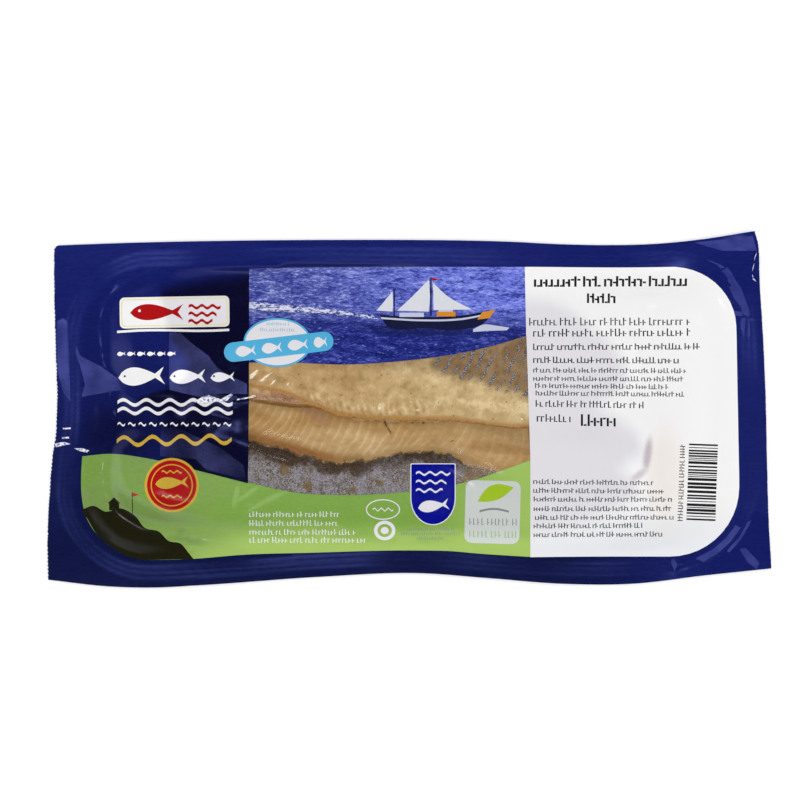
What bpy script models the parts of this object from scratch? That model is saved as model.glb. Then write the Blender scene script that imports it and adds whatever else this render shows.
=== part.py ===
"""Flat sealed pack of three smoked herring fillets, shown through a clear window in its printed film.

Blender 4.5, metres, +Z up. +X runs along the pack towards the fillets' tails and +Y across it.
The origin is under the middle of the pack, on the surface that the pack lies on.
"""

from math import pi

import bmesh
import bpy
import numpy as np

MM = 0.001
TINY = 1e-6

# The pack's plan. Each edge is a smooth line through points (place along the edge, distance from
# the middle), in mm: the sealed film was cut square, and the vacuum has drawn its edges in.
HALF_LENGTH = 135.4
HALF_WIDTH = 66.6
TOP_EDGE = [(-135, 61.4), (-110, 62.3), (-51, 63.4), (5, 63.5), (23, 63.3), (42, 62.8), (61, 61.9),
            (79, 61.6), (98, 62.1), (116, 63.8), (135, 66.7)]
BOTTOM_EDGE = [(-135, -63.9), (-112, -66.4), (-96, -66.8), (-78, -65.9), (-33, -62.8), (3, -61.4),
               (30, -63.3), (57, -65.4), (84, -65.4), (111, -62.2), (135, -59.6)]
LEFT_EDGE = [(-66, -135.5), (-50, -135.7), (-33, -135.0), (-20, -134.1), (-8, -132.6), (5, -132.1),
             (24, -132.6), (50, -133.2), (66, -133.2)]
RIGHT_EDGE = [(-66, 135.7), (-51, 135.0), (-25, 134.3), (0, 133.8), (25, 132.8), (51, 131.3), (57, 131.1),
              (62, 130.6), (66, 129.4)]

# The two films and the pocket formed in the lower one, in mm. Beyond the fillets' tails the pocket is
# empty, and the vacuum has drawn its floor up.
FILM_THICKNESS = 0.4
SEAL_GAP = 0.3
RIM_HEIGHT = 8.0
RIM_INSET = 10.5
RIM_RADIUS = 27.0
WALL_WIDTH = 13.0
EMPTY_FROM, EMPTY_TO = 88.0, 110.0
EMPTY_RISE = 4.5
WAVE_HEIGHT = 1.1
WAVE_LENGTH = 118.0
CURL_START = 0.62
CURLS = {(-1, 1): 2.2, (1, 1): 6.5, (-1, -1): 2.0, (1, -1): 3.6}

# The window in the printed film, in mm: points along its bowed long sides, left to right. Its ends
# are straight.
WINDOW_TOP = [(-59.8, 17.5), (-42, 17.4), (-24, 16.8), (-5, 17.9), (14, 20.2), (31.7, 23.9), (43.5, 27.5)]
WINDOW_BOTTOM = [(-60.3, -27.4), (-43, -31.1), (-24, -32.1), (-5, -31.3), (19, -27.8), (45.4, -19.1)]

# The fillets, from the one that lies lowest. Edges are points (along the pack, across it), in mm.
# "thick_side" is the side across the pack of a fillet's thicker edge, or 0 where both are alike.
# "softness" says how gently its low and its high edge thin out.
FILLETS = {
    "fillet_lower": {
        "head": -109,
        "tail": 86,
        "low_edge": [(-109, -36), (-60, -44), (0, -46.5), (50, -45), (86, -38)],
        "high_edge": [(-109, -4), (-60, -1), (0, -6), (50, -14), (86, -22)],
        "thickness": 13.0,
        "thick_side": -1,
        "softness": (0.6, 1.0),
    },
    "fillet_middle": {
        "head": -107,
        "tail": 88,
        "low_edge": [(-107, -3), (-59, -10.5), (-24, -18.8), (6, -16.8), (20, -18.6), (40, -29), (88, -24)],
        "high_edge": [(-107, 26), (-50, 23), (0, 14), (50, 8), (88, -4)],
        "thickness": 11.0,
        "thick_side": 0,
        "softness": (1.3, 1.0),
    },
    "fillet_upper": {
        "head": -111,
        "tail": 82,
        "low_edge": [(-111, 14), (-60, 7.6), (-38, 2), (-24, -2.6), (-8, -3.8), (16, -4), (45, -7), (82, 1)],
        "high_edge": [(-111, 44), (-60, 51), (0, 52), (40, 48), (82, 26)],
        "thickness": 13.0,
        "thick_side": 1,
        "softness": (1.3, 0.6),
    },
}
END_ROUNDING = 8
EDGE_ROUNDING = 2.4
SIDE_TAPER = 0.36
TAIL_TAPER = 0.42

# How the soft layers lie on each other, in mm
CELL = 1.5
LAYER_GAP = 0.6
REACH = 3
FISH_PULL = 0.10
FILM_PULL = 0.09
DRAPE_ROUNDS = 700
SOFTENING = 5

# Fineness of the meshes
FILM_STEPS = (48, 23)
FILLET_STEPS = (56, 14)
WINDOW_STEPS = 24
CUTTER_DEPTH = 60.0

COLOURS = {
    "navy_film": (0.010, 0.016, 0.115, 1.0),
    "clear_film": (0.80, 0.86, 0.90, 0.20),
    "flesh": (0.56, 0.34, 0.15, 1.0),
    "silver_skin": (0.22, 0.19, 0.17, 1.0),
}


def remove_objects():
    """Empties the scene."""
    for obj in list(bpy.data.objects):
        bpy.data.objects.remove(obj, do_unlink=True)


def smooth_line(points, at):
    """Height at each place of the smooth line through the points, level beyond its ends."""
    place, height = np.array(points, float).T
    slope = np.gradient(height, place)
    at = np.clip(np.asarray(at, float), place[0], place[-1])
    i = np.clip(np.searchsorted(place, at) - 1, 0, len(place) - 2)
    span = place[i + 1] - place[i]
    t = (at - place[i]) / span
    from_start = (1 + 2 * t) * (1 - t) ** 2 * height[i] + t * (1 - t) ** 2 * span * slope[i]
    from_end = t**2 * (3 - 2 * t) * height[i + 1] + t**2 * (t - 1) * span * slope[i + 1]
    return from_start + from_end


def smooth_step(t):
    """0 below 0, 1 above 1, and a smooth rise between."""
    t = np.clip(t, 0.0, 1.0)
    return t * t * (3 - 2 * t)


def plan_of(s, t):
    """Where a point (s, t) of the flat film lies in plan, once the edges are drawn in."""
    along = (s / HALF_LENGTH + 1) / 2
    across = (t / HALF_WIDTH + 1) / 2
    x = (1 - along) * smooth_line(LEFT_EDGE, t) + along * smooth_line(RIGHT_EDGE, t)
    y = (1 - across) * smooth_line(BOTTOM_EDGE, s) + across * smooth_line(TOP_EDGE, s)
    return x, y


def film_point(x, y):
    """The point (s, t) of the flat film that lies at (x, y) in plan."""
    s, t = np.array(x, float), np.array(y, float)
    for _ in range(4):
        at_x, at_y = plan_of(s, t)
        s, t = s + x - at_x, t + y - at_y
    return s, t


def inside_rim(s, t):
    """Distance in from the pocket's rim, a rounded rectangle. It is negative on the flange."""
    dx = np.abs(s) - (HALF_LENGTH - RIM_INSET - RIM_RADIUS)
    dy = np.abs(t) - (HALF_WIDTH - RIM_INSET - RIM_RADIUS)
    corner = np.hypot(np.maximum(dx, 0), np.maximum(dy, 0))
    return RIM_RADIUS - corner - np.minimum(np.maximum(dx, dy), 0)


def flange_height(s, t):
    """Height of the seal between the films: level, with a long wave and corners that curl up."""
    u, v = s / HALF_LENGTH, t / HALF_WIDTH
    height = RIM_HEIGHT + WAVE_HEIGHT * np.sin(2 * pi * s / WAVE_LENGTH) * np.abs(v) ** 3
    for (side_x, side_y), lift in CURLS.items():
        along = smooth_step((u * side_x - CURL_START) / (1 - CURL_START))
        across = smooth_step((v * side_y - CURL_START) / (1 - CURL_START))
        height = height + lift * along * across
    return height


def neighbours(heights):
    """The mean of the four points round each point of the lattice."""
    shifted = [np.roll(heights, step, axis) for axis in (0, 1) for step in (-1, 1)]
    return np.mean(shifted, axis=0)


def softened(heights):
    """The heights with their sharp steps rounded off."""
    for _ in range(SOFTENING):
        heights = (heights + neighbours(heights)) / 2
    return heights


def cover_of(heights):
    """A smooth cover that clears the heights, also where a coarse mesh of it cuts a corner."""
    highest = heights
    for axis in (0, 1):
        highest = np.max([np.roll(highest, step, axis) for step in range(-REACH, REACH + 1)], axis=0)
    return np.maximum(softened(highest), heights)


def drape(obstacle, held, start, pull):
    """Heights of a soft sheet drawn down on the obstacle, held at its start height where held."""
    z = start.copy()
    for _ in range(DRAPE_ROUNDS):
        z = np.where(held, start, np.maximum(obstacle, neighbours(z) - pull))
    return np.where(held, start, softened(z))


class Lattice:
    """A square grid over the pack's plan, from which heights are read between its points."""

    def __init__(self):
        self.x0, self.y0 = -HALF_LENGTH - 4 * CELL, -HALF_WIDTH - 4 * CELL
        self.x, self.y = np.meshgrid(
            np.arange(self.x0, -self.x0 + CELL, CELL),
            np.arange(self.y0, -self.y0 + CELL, CELL),
            indexing="ij",
        )

    def read(self, heights, x, y):
        """Heights between the grid's points."""
        i, j = (x - self.x0) / CELL, (y - self.y0) / CELL
        i0 = np.clip(i.astype(int), 0, heights.shape[0] - 2)
        j0 = np.clip(j.astype(int), 0, heights.shape[1] - 2)
        a, b = i - i0, j - j0
        low = heights[i0, j0] * (1 - a) + heights[i0 + 1, j0] * a
        high = heights[i0, j0 + 1] * (1 - a) + heights[i0 + 1, j0 + 1] * a
        return low * (1 - b) + high * b


def fillet_sides(fillet, x):
    """Middle line and half width of a fillet at places along the pack, round at both ends."""
    along = np.clip((2 * x - fillet["head"] - fillet["tail"]) / (fillet["tail"] - fillet["head"]), -1, 1)
    low, high = smooth_line(fillet["low_edge"], x), smooth_line(fillet["high_edge"], x)
    return along, (low + high) / 2, (high - low) / 2 * (1 - np.abs(along) ** END_ROUNDING) ** 0.5


def fillet_thickness(fillet, x, y):
    """Thickness of a fillet over plan points: a low dome, thick at the back and thin at the tail."""
    along, middle, half = fillet_sides(fillet, x)
    across = np.clip((y - middle) / np.maximum(half, TINY), -1, 1)
    softness = np.where(across < 0, *fillet["softness"])
    dome = (1 - np.abs(across) ** EDGE_ROUNDING) ** softness * (1 - np.abs(along) ** END_ROUNDING) ** 0.5
    side = 1 + SIDE_TAPER * fillet["thick_side"] * across
    return fillet["thickness"] * dome * side * (1 - TAIL_TAPER * (along + 1) / 2)


def stack_layers(lattice):
    """Heights over the lattice of each film and of each fillet's underside."""
    s, t = film_point(lattice.x, lattice.y)
    flange = flange_height(s, t)
    inside = inside_rim(s, t)
    wall = 1 - smooth_step(inside / WALL_WIDTH)
    drawn_up = smooth_step((lattice.x - EMPTY_FROM) / (EMPTY_TO - EMPTY_FROM))
    floor = FILM_THICKNESS + EMPTY_RISE * drawn_up
    layers = {"bottom_film": floor + (flange - floor) * wall}
    loose = np.zeros(flange.shape, bool)
    below = layers["bottom_film"] + LAYER_GAP
    fish = np.zeros(flange.shape)
    for name, fillet in FILLETS.items():
        under = drape(below, loose, np.full(flange.shape, below.max()), FISH_PULL)
        thickness = fillet_thickness(fillet, lattice.x, lattice.y)
        top = under + thickness
        layers[name] = under
        fish = np.maximum(fish, np.where(thickness > 0, top + LAYER_GAP, 0))
        below = np.maximum(below, cover_of(fish))
    on_tray = layers["bottom_film"] + SEAL_GAP
    obstacle = np.maximum(on_tray, cover_of(fish))
    held = inside < 0
    start = np.where(held, on_tray, obstacle.max())
    layers["top_film"] = drape(obstacle, held, start, FILM_PULL)
    return layers


def material(name, roughness, metallic=0.0):
    """A Principled material in the colour of that name."""
    made = bpy.data.materials.new(name)
    made.use_nodes = True
    shader = made.node_tree.nodes["Principled BSDF"]
    shader.inputs["Base Color"].default_value = COLOURS[name]
    shader.inputs["Roughness"].default_value = roughness
    shader.inputs["Metallic"].default_value = metallic
    shader.inputs["Alpha"].default_value = COLOURS[name][3]
    made.diffuse_color = COLOURS[name]
    return made


def new_object(name, mesh_builder, collection, finish):
    """An object whose mesh is what the bmesh builder holds."""
    mesh = bpy.data.meshes.new(name)
    mesh_builder.to_mesh(mesh)
    mesh_builder.free()
    mesh.materials.append(finish)
    obj = bpy.data.objects.new(name, mesh)
    collection.objects.link(obj)
    return obj


def lay(mesh_builder, x, y, z):
    """Moves the vertices to these places, given in mm."""
    for vertex, place in zip(mesh_builder.verts, np.stack([x, y, z], axis=1) * MM):
        vertex.co = place


def film_sheet(name, lattice, folds, heights, side, collection, finish):
    """A film: a grid in the pack's plan, split along one form and laid to another, then thickened
    to one side. Films that are split alike have their facets in line along the seal.
    """
    sheet = bmesh.new()
    bmesh.ops.create_grid(sheet, x_segments=FILM_STEPS[0], y_segments=FILM_STEPS[1], size=1)
    flat = np.array([vertex.co for vertex in sheet.verts])
    x, y = plan_of(flat[:, 0] * HALF_LENGTH, flat[:, 1] * HALF_WIDTH)
    lay(sheet, x, y, lattice.read(folds, x, y))
    bmesh.ops.triangulate(sheet, faces=sheet.faces, quad_method="SHORT_EDGE")
    lay(sheet, x, y, lattice.read(heights, x, y))
    obj = new_object(name, sheet, collection, finish)
    thicken = obj.modifiers.new("thickness", "SOLIDIFY")
    thicken.thickness = FILM_THICKNESS * MM
    thicken.offset = side
    return obj


def window_cutter(name, inset, collection):
    """A tall prism of the window's outline, drawn in by the inset."""
    corners = []
    for side, drawn_in in ((WINDOW_TOP, -inset), (WINDOW_BOTTOM, inset)):
        places = np.linspace(side[0][0] + inset, side[-1][0] - inset, WINDOW_STEPS)
        corners = corners[::-1] + [*zip(places, smooth_line(side, places) + drawn_in)]
    outline = bpy.data.curves.new(name, "CURVE")
    outline.dimensions = "2D"
    outline.fill_mode = "BOTH"
    outline.extrude = CUTTER_DEPTH / 2 * MM
    spline = outline.splines.new("POLY")
    spline.points.add(len(corners) - 1)
    for point, (x, y) in zip(spline.points, corners):
        point.co = (x * MM, y * MM, 0, 1)
    spline.use_cyclic_u = True
    curve = bpy.data.objects.new(name + "_outline", outline)
    collection.objects.link(curve)
    bpy.context.view_layer.update()
    evaluated = curve.evaluated_get(bpy.context.evaluated_depsgraph_get())
    mesh = bpy.data.meshes.new_from_object(evaluated)
    bpy.data.objects.remove(curve)
    weld = bmesh.new()
    weld.from_mesh(mesh)
    bmesh.ops.remove_doubles(weld, verts=weld.verts, dist=0.01 * MM)
    bmesh.ops.recalc_face_normals(weld, faces=weld.faces)
    weld.to_mesh(mesh)
    weld.free()
    cutter = bpy.data.objects.new(name, mesh)
    collection.objects.link(cutter)
    cutter.hide_render = True
    cutter.display_type = "WIRE"
    return cutter


def cut(obj, cutter, operation):
    """Cuts a film to what lies outside or inside the cutter."""
    boolean = obj.modifiers.new("window", "BOOLEAN")
    boolean.operation = operation
    boolean.object = cutter


def fillet_body(name, lattice, under, collection, finish):
    """A fillet: a ball flattened to the fillet's outline, its lower half on what it lies on."""
    fillet = FILLETS[name]
    ball = bmesh.new()
    around, down = FILLET_STEPS
    bmesh.ops.create_uvsphere(ball, u_segments=around, v_segments=down, radius=1)
    unit_x, unit_y, unit_z = np.array([vertex.co for vertex in ball.verts]).T
    ring = np.hypot(unit_x, unit_y)
    angle = np.arctan2(unit_y, unit_x)
    along = ring * (np.cos(angle) + 1 - 2 * np.abs(angle) / pi) / 2
    across = np.sign(unit_y) * np.sqrt((ring**2 - along**2) / np.maximum(1 - along**2, TINY))
    x = (fillet["head"] + fillet["tail"]) / 2 + along * (fillet["tail"] - fillet["head"]) / 2
    _, middle, half = fillet_sides(fillet, x)
    y = middle + across * half
    is_top = unit_z > TINY
    lay(ball, x, y, lattice.read(under, x, y) + np.where(is_top, fillet_thickness(fillet, x, y), 0))
    return new_object(name, ball, collection, finish)


def build():
    remove_objects()
    pack = bpy.data.collections.new("herring_pack")
    cutters = bpy.data.collections.new("cutters")
    for collection in (pack, cutters):
        bpy.context.scene.collection.children.link(collection)
    navy = material("navy_film", roughness=0.22)
    clear = material("clear_film", roughness=0.06)
    flesh = material("flesh", roughness=0.38)
    skin = material("silver_skin", roughness=0.30, metallic=0.35)

    lattice = Lattice()
    layers = stack_layers(lattice)
    tray, lid = layers["bottom_film"], layers["top_film"]
    film_sheet("bottom_film", lattice, lid, tray, -1, pack, navy)
    printed = film_sheet("top_film", lattice, lid, lid, 1, pack, navy)
    window = film_sheet("window", lattice, lid, lid, 1, pack, clear)
    cut(printed, window_cutter("window_hole", 0.0, cutters), "DIFFERENCE")
    cut(window, window_cutter("window_pane", SEAL_GAP, cutters), "INTERSECT")
    for name in FILLETS:
        fillet_body(name, lattice, layers[name], pack, skin if name == "fillet_lower" else flesh)


build()
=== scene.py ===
"""Looks of a flat sealed pack of smoked herring: printed film with a clear window, a formed film
below it, and three fillets between them.

Lengths are in mm until a mesh is made, which is in metres. +X runs along the pack towards the
fillets' tails, +Y across it, and +Z up through the printed film.
"""

import functools
from math import cos, pi, radians, sin

import bpy
import numpy as np
from bpy.props import FloatProperty, FloatVectorProperty, PointerProperty
from mathutils.geometry import delaunay_2d_cdt
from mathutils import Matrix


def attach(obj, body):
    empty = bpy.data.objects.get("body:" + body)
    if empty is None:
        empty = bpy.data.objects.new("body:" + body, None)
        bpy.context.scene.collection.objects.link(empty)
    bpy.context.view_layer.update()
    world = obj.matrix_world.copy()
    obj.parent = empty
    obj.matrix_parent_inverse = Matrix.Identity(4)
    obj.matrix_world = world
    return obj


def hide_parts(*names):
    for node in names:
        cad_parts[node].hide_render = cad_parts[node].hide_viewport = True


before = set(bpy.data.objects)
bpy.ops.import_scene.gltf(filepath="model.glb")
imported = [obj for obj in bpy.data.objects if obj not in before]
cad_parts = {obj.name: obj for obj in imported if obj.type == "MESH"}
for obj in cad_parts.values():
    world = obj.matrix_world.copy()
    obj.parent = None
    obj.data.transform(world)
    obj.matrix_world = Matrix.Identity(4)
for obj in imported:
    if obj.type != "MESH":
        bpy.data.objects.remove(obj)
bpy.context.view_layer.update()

bl_info = {
    "name": "Smoked Herring Pack",
    "version": (1, 0, 0),
    "blender": (4, 5, 0),
    "location": "View3D > Sidebar > Herring",
    "description": "Dresses the solids of a sealed pack of herring fillets with film, print and fish",
    "category": "Add Mesh",
}

MM = 0.001
TINY = 1e-6

# The pack's plan. Each edge is a smooth line through points (place along the edge, distance from
# the middle), in mm: the sealed film was cut square, and the vacuum has drawn its edges in.
HALF_LENGTH = 135.4
HALF_WIDTH = 66.6
TOP_EDGE = [(-135, 61.4), (-110, 62.3), (-51, 63.4), (5, 63.5), (23, 63.3), (42, 62.8), (61, 61.9),
            (79, 61.6), (98, 62.1), (116, 63.8), (135, 66.7)]
BOTTOM_EDGE = [(-135, -63.9), (-112, -66.4), (-96, -66.8), (-78, -65.9), (-33, -62.8), (3, -61.4),
               (30, -63.3), (57, -65.4), (84, -65.4), (111, -62.2), (135, -59.6)]
LEFT_EDGE = [(-66, -135.5), (-50, -135.7), (-33, -135.0), (-20, -134.1), (-8, -132.6), (5, -132.1),
             (24, -132.6), (50, -133.2), (66, -133.2)]
RIGHT_EDGE = [(-66, 135.7), (-51, 135.0), (-25, 134.3), (0, 133.8), (25, 132.8), (51, 131.3), (57, 131.1),
              (62, 130.6), (66, 129.4)]
SAW_PITCH = 1.5
SAW_DEPTH = 0.42
SAW_WANDER = 0.35
SAW_LUMPS = (2.3, 71)
FINE_SAW = 0.14
FINE_SAW_LUMPS = (0.5, 72)
CORNER_CUT = 1.6
CORNER_SLANT = 0.6

# The two films and the pocket formed in the lower one, in mm
TRAY_THICKNESS = 0.4
SEAL_GAP = 0.3
LID_UNDERSIDE = 0.12
LID_TOP = 0.34
LID_CLEARANCE = 0.25
RIM_HEIGHT = 8.0
RIM_INSET = 10.5
RIM_RADIUS = 27.0
WALL_WIDTH = 13.0
EMPTY_FROM, EMPTY_TO = 88.0, 110.0
EMPTY_RISE = 4.5
WAVE_HEIGHT = 1.1
WAVE_LENGTH = 118.0
CURL_START = 0.62
CURLS = {(-1, 1): 2.2, (1, 1): 6.5, (-1, -1): 2.0, (1, -1): 3.6}

# The window: points along its bowed long sides, left to right, in mm. Its ends are straight.
WINDOW_TOP = [(-59.8, 17.5), (-42, 17.4), (-24, 16.8), (-5, 17.9), (14, 20.2), (31.7, 23.9), (44.0, 27.6)]
WINDOW_BOTTOM = [(-60.3, -27.4), (-43, -31.1), (-24, -32.1), (-5, -31.3), (19, -27.8), (45.4, -19.1)]

# The fillets, from the one that lies lowest. Edges are points (along the pack, across it), in mm.
# Spread is how far the lower edge lies on the next fillet, fray how far it is ragged, and drop how
# far it is drawn down.
FILLETS = {
    "fillet_lower": {
        "head": -109,
        "tail": 86,
        "low_edge": [(-109, -36), (-60, -44), (0, -46.5), (50, -45), (86, -38)],
        "high_edge": [(-109, -4), (-60, -1), (0, -6), (50, -14), (86, -22)],
        "thickness": 13.0,
        "thick_side": -1,
        "softness": (0.6, 1.0),
        "spread": [(-109, 0.0), (86, 0.0)],
        "fray": 0.0,
        "drop": 0.0,
        "slot": "silver_skin",
    },
    "fillet_middle": {
        "head": -107,
        "tail": 88,
        "low_edge": [(-107, -3), (-59, -10.5), (-24, -18.8), (6, -16.8), (20, -18.6), (40, -29), (88, -24)],
        "high_edge": [(-107, 26), (-50, 23), (0, 14), (50, 8), (88, -4)],
        "thickness": 11.0,
        "thick_side": 0,
        "softness": (1.3, 1.0),
        "spread": [(-107, 0.5), (-60, 2.1), (-45, 1.9), (-20, 1.5), (-8, 0.4), (16, 0.4), (26, 3.4),
                   (88, 3.4)],
        "fray": 0.6,
        "drop": 0.45,
        "slot": "cut_flesh",
    },
    "fillet_upper": {
        "head": -111,
        "tail": 82,
        "low_edge": [(-111, 14), (-60, 7.6), (-38, 2), (-24, -2.6), (-8, -3.8), (16, -4), (45, -7), (82, 1)],
        "high_edge": [(-111, 44), (-60, 51), (0, 52), (40, 48), (82, 26)],
        "thickness": 13.0,
        "thick_side": 1,
        "softness": (1.3, 0.6),
        "spread": [(-111, 3.0), (-50, 3.2), (-44, 2.4), (-37, 0.7), (-28, 0.45), (26, 0.35), (38, 0.1),
                   (82, 0.0)],
        "fray": 0.12,
        "drop": 0.45,
        "slot": "skinned_flesh",
    },
}
END_ROUNDING = 8
EDGE_ROUNDING = 2.4
SIDE_TAPER = 0.36
TAIL_TAPER = 0.42

# How the soft layers lie on each other, in mm
COARSE_CELL = 1.5
FINE_CELL = 0.5
LAYER_GAP = 0.6
REACH = 3
FISH_PULL = 0.10
FILM_PULL = 0.09
DRAPE_ROUNDS = 700
COARSE_SOFTENING = 5
FINE_SOFTENING = 14

# Fineness of the meshes
FILM_SPACING = 1.0
EDGE_CLEARANCE = 0.5
MERGE_WITHIN = 1e-5
AT_EDGE = 0.01
ROW_SPACING = 0.9 * FILM_SPACING
ROW_SHIFT = 0.25 * FILM_SPACING
FILLET_COLUMNS = 420
FILLET_ROWS = 120
FILLET_RIM = 0.15
FILLET_REACH = 0.9995

# How a fillet's edge is drawn down, spread and frayed, and how far its relief keeps from its rim.
# Widths are in mm, or as shares of the fillet's half width or half length.
DROP_WIDTH = 3.5
SPREAD_BELOW, SPREAD_WIDTH = 0.4, 1.4
FRAYED_BELOW, FRAYED_WIDTH = -0.80, 0.2
FRAY_LUMPS = ((2.6, 1.0, 61), (1.1, 0.6, 62))
RELIEF_INSET_ACROSS, RELIEF_INSET_ALONG = 0.06, 0.02

# The studio: its floor, in metres, how much brighter the tent is at its ends, the turn and tilt of
# the small lamp and the width of both lamps, in degrees, and how unevenly the film's flat places
# face the small one
FLOOR_SIZE = 12.0
FLOOR_SHADE = (0.8, 0.8, 0.8)
FLOOR_GLOW = 0.16
TENT_ENDS, TENT_SIDES = 0.65, 0.40
TOP_WIDTH = 16
SMALL_LAMP_TURN, SMALL_LAMP_TILT = 225, 18
SMALL_LAMP_WIDTH = 8
FACET_UNEVENNESS = 0.022
FACET_MISS = 0.032
FACET_LUMPS = 7.0


def smooth_line(points, at):
    """Height at each place of the smooth line through the points, level beyond its ends."""
    place, height = np.array(points, float).T
    slope = np.gradient(height, place)
    at = np.clip(np.asarray(at, float), place[0], place[-1])
    i = np.clip(np.searchsorted(place, at) - 1, 0, len(place) - 2)
    span = place[i + 1] - place[i]
    t = (at - place[i]) / span
    from_start = (1 + 2 * t) * (1 - t) ** 2 * height[i] + t * (1 - t) ** 2 * span * slope[i]
    from_end = t**2 * (3 - 2 * t) * height[i + 1] + t**2 * (t - 1) * span * slope[i + 1]
    return from_start + from_end


def smooth_step(t):
    """0 below 0, 1 above 1, and a smooth rise between."""
    t = np.clip(t, 0.0, 1.0)
    return t * t * (3 - 2 * t)


def bell(distance, reach):
    """1 at no distance, and a smooth fall to 0 beyond that reach."""
    return np.exp(-((distance / reach) ** 2))


def between(x, start, end, rise, fall):
    """1 between start and end and 0 outside, with a rise and a fall of those lengths inside."""
    return smooth_step((x - start) / rise) * smooth_step((end - x) / fall)


def value_noise(x, y, size, seed):
    """Smooth unevenness from -1 to 1, in lumps of that size."""
    table = np.random.default_rng(seed).uniform(-1, 1, (64, 64))
    i, j = x / size, y / size
    i0, j0 = np.floor(i).astype(int), np.floor(j).astype(int)
    a, b = smooth_step(i - i0), smooth_step(j - j0)
    corner = [[table[(i0 + di) % 64, (j0 + dj) % 64] for dj in (0, 1)] for di in (0, 1)]
    near = corner[0][0] * (1 - b) + corner[0][1] * b
    far = corner[1][0] * (1 - b) + corner[1][1] * b
    return near * (1 - a) + far * a


def uneven(x, y, lumps):
    """Unevenness made of lumps, each given as size, height and seed."""
    return sum(height * value_noise(x, y, size, seed) for size, height, seed in lumps)


def plan_of(s, t):
    """Where a point (s, t) of the flat film lies in plan, once the edges are drawn in."""
    along = (s / HALF_LENGTH + 1) / 2
    across = (t / HALF_WIDTH + 1) / 2
    x = (1 - along) * smooth_line(LEFT_EDGE, t) + along * smooth_line(RIGHT_EDGE, t)
    y = (1 - across) * smooth_line(BOTTOM_EDGE, s) + across * smooth_line(TOP_EDGE, s)
    return x, y


def film_point(x, y):
    """The point (s, t) of the flat film that lies at (x, y) in plan."""
    s, t = np.array(x, float), np.array(y, float)
    for _ in range(6):
        at_x, at_y = plan_of(s, t)
        s, t = s + x - at_x, t + y - at_y
    return s, t


def inside_rim(s, t):
    """Distance in from the pocket's rim, a rounded rectangle. It is negative on the flange."""
    dx = np.abs(s) - (HALF_LENGTH - RIM_INSET - RIM_RADIUS)
    dy = np.abs(t) - (HALF_WIDTH - RIM_INSET - RIM_RADIUS)
    corner = np.hypot(np.maximum(dx, 0), np.maximum(dy, 0))
    return RIM_RADIUS - corner - np.minimum(np.maximum(dx, dy), 0)


def flange_height(s, t):
    """Height of the seal between the films: level, with a long wave and corners that curl up."""
    u, v = s / HALF_LENGTH, t / HALF_WIDTH
    height = RIM_HEIGHT + WAVE_HEIGHT * np.sin(2 * pi * s / WAVE_LENGTH) * np.abs(v) ** 3
    for (side_x, side_y), lift in CURLS.items():
        along = smooth_step((u * side_x - CURL_START) / (1 - CURL_START))
        across = smooth_step((v * side_y - CURL_START) / (1 - CURL_START))
        height = height + lift * along * across
    return height


def neighbours(heights):
    """The mean of the four points round each point of a lattice."""
    shifted = [np.roll(heights, step, axis) for axis in (0, 1) for step in (-1, 1)]
    return np.mean(shifted, axis=0)


def softened(heights, rounds):
    """The heights with their sharp steps rounded off."""
    for _ in range(rounds):
        heights = (heights + neighbours(heights)) / 2
    return heights


def cover_of(heights):
    """A smooth cover that clears the heights."""
    highest = heights
    for axis in (0, 1):
        highest = np.max([np.roll(highest, step, axis) for step in range(-REACH, REACH + 1)], axis=0)
    return np.maximum(softened(highest, COARSE_SOFTENING), heights)


def drape(obstacle, held, start, pull):
    """Heights of a soft sheet drawn down on the obstacle, held at its start height where held."""
    z = start.copy()
    for _ in range(DRAPE_ROUNDS):
        z = np.where(held, start, np.maximum(obstacle, neighbours(z) - pull))
    return np.where(held, start, softened(z, COARSE_SOFTENING))


class Lattice:
    """A square grid over the pack's plan, from which heights are read between its points."""

    def __init__(self, cell):
        self.cell = cell
        self.x0, self.y0 = -HALF_LENGTH - 4 * cell, -HALF_WIDTH - 4 * cell
        self.x, self.y = np.meshgrid(
            np.arange(self.x0, -self.x0 + cell, cell),
            np.arange(self.y0, -self.y0 + cell, cell),
            indexing="ij",
        )

    def read(self, heights, x, y):
        """Heights between the grid's points."""
        i, j = (x - self.x0) / self.cell, (y - self.y0) / self.cell
        i0 = np.clip(i.astype(int), 0, heights.shape[0] - 2)
        j0 = np.clip(j.astype(int), 0, heights.shape[1] - 2)
        a, b = np.clip(i - i0, 0, 1), np.clip(j - j0, 0, 1)
        low = heights[i0, j0] * (1 - a) + heights[i0 + 1, j0] * a
        high = heights[i0, j0 + 1] * (1 - a) + heights[i0 + 1, j0 + 1] * a
        return low * (1 - b) + high * b


def fillet_sides(fillet, x):
    """Middle line and half width of a fillet at places along the pack, round at both ends."""
    along = np.clip((2 * x - fillet["head"] - fillet["tail"]) / (fillet["tail"] - fillet["head"]), -1, 1)
    low, high = smooth_line(fillet["low_edge"], x), smooth_line(fillet["high_edge"], x)
    return along, (low + high) / 2, (high - low) / 2 * (1 - np.abs(along) ** END_ROUNDING) ** 0.5


def fillet_thickness(fillet, x, y):
    """Thickness of a fillet over plan points: a low dome, thick at the back and thin at the tail."""
    along, middle, half = fillet_sides(fillet, x)
    across = np.clip((y - middle) / np.maximum(half, TINY), -1, 1)
    softness = np.where(across < 0, *fillet["softness"])
    dome = (1 - np.abs(across) ** EDGE_ROUNDING) ** softness * (1 - np.abs(along) ** END_ROUNDING) ** 0.5
    side = 1 + SIDE_TAPER * fillet["thick_side"] * across
    return fillet["thickness"] * dome * side * (1 - TAIL_TAPER * (along + 1) / 2)


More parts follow.
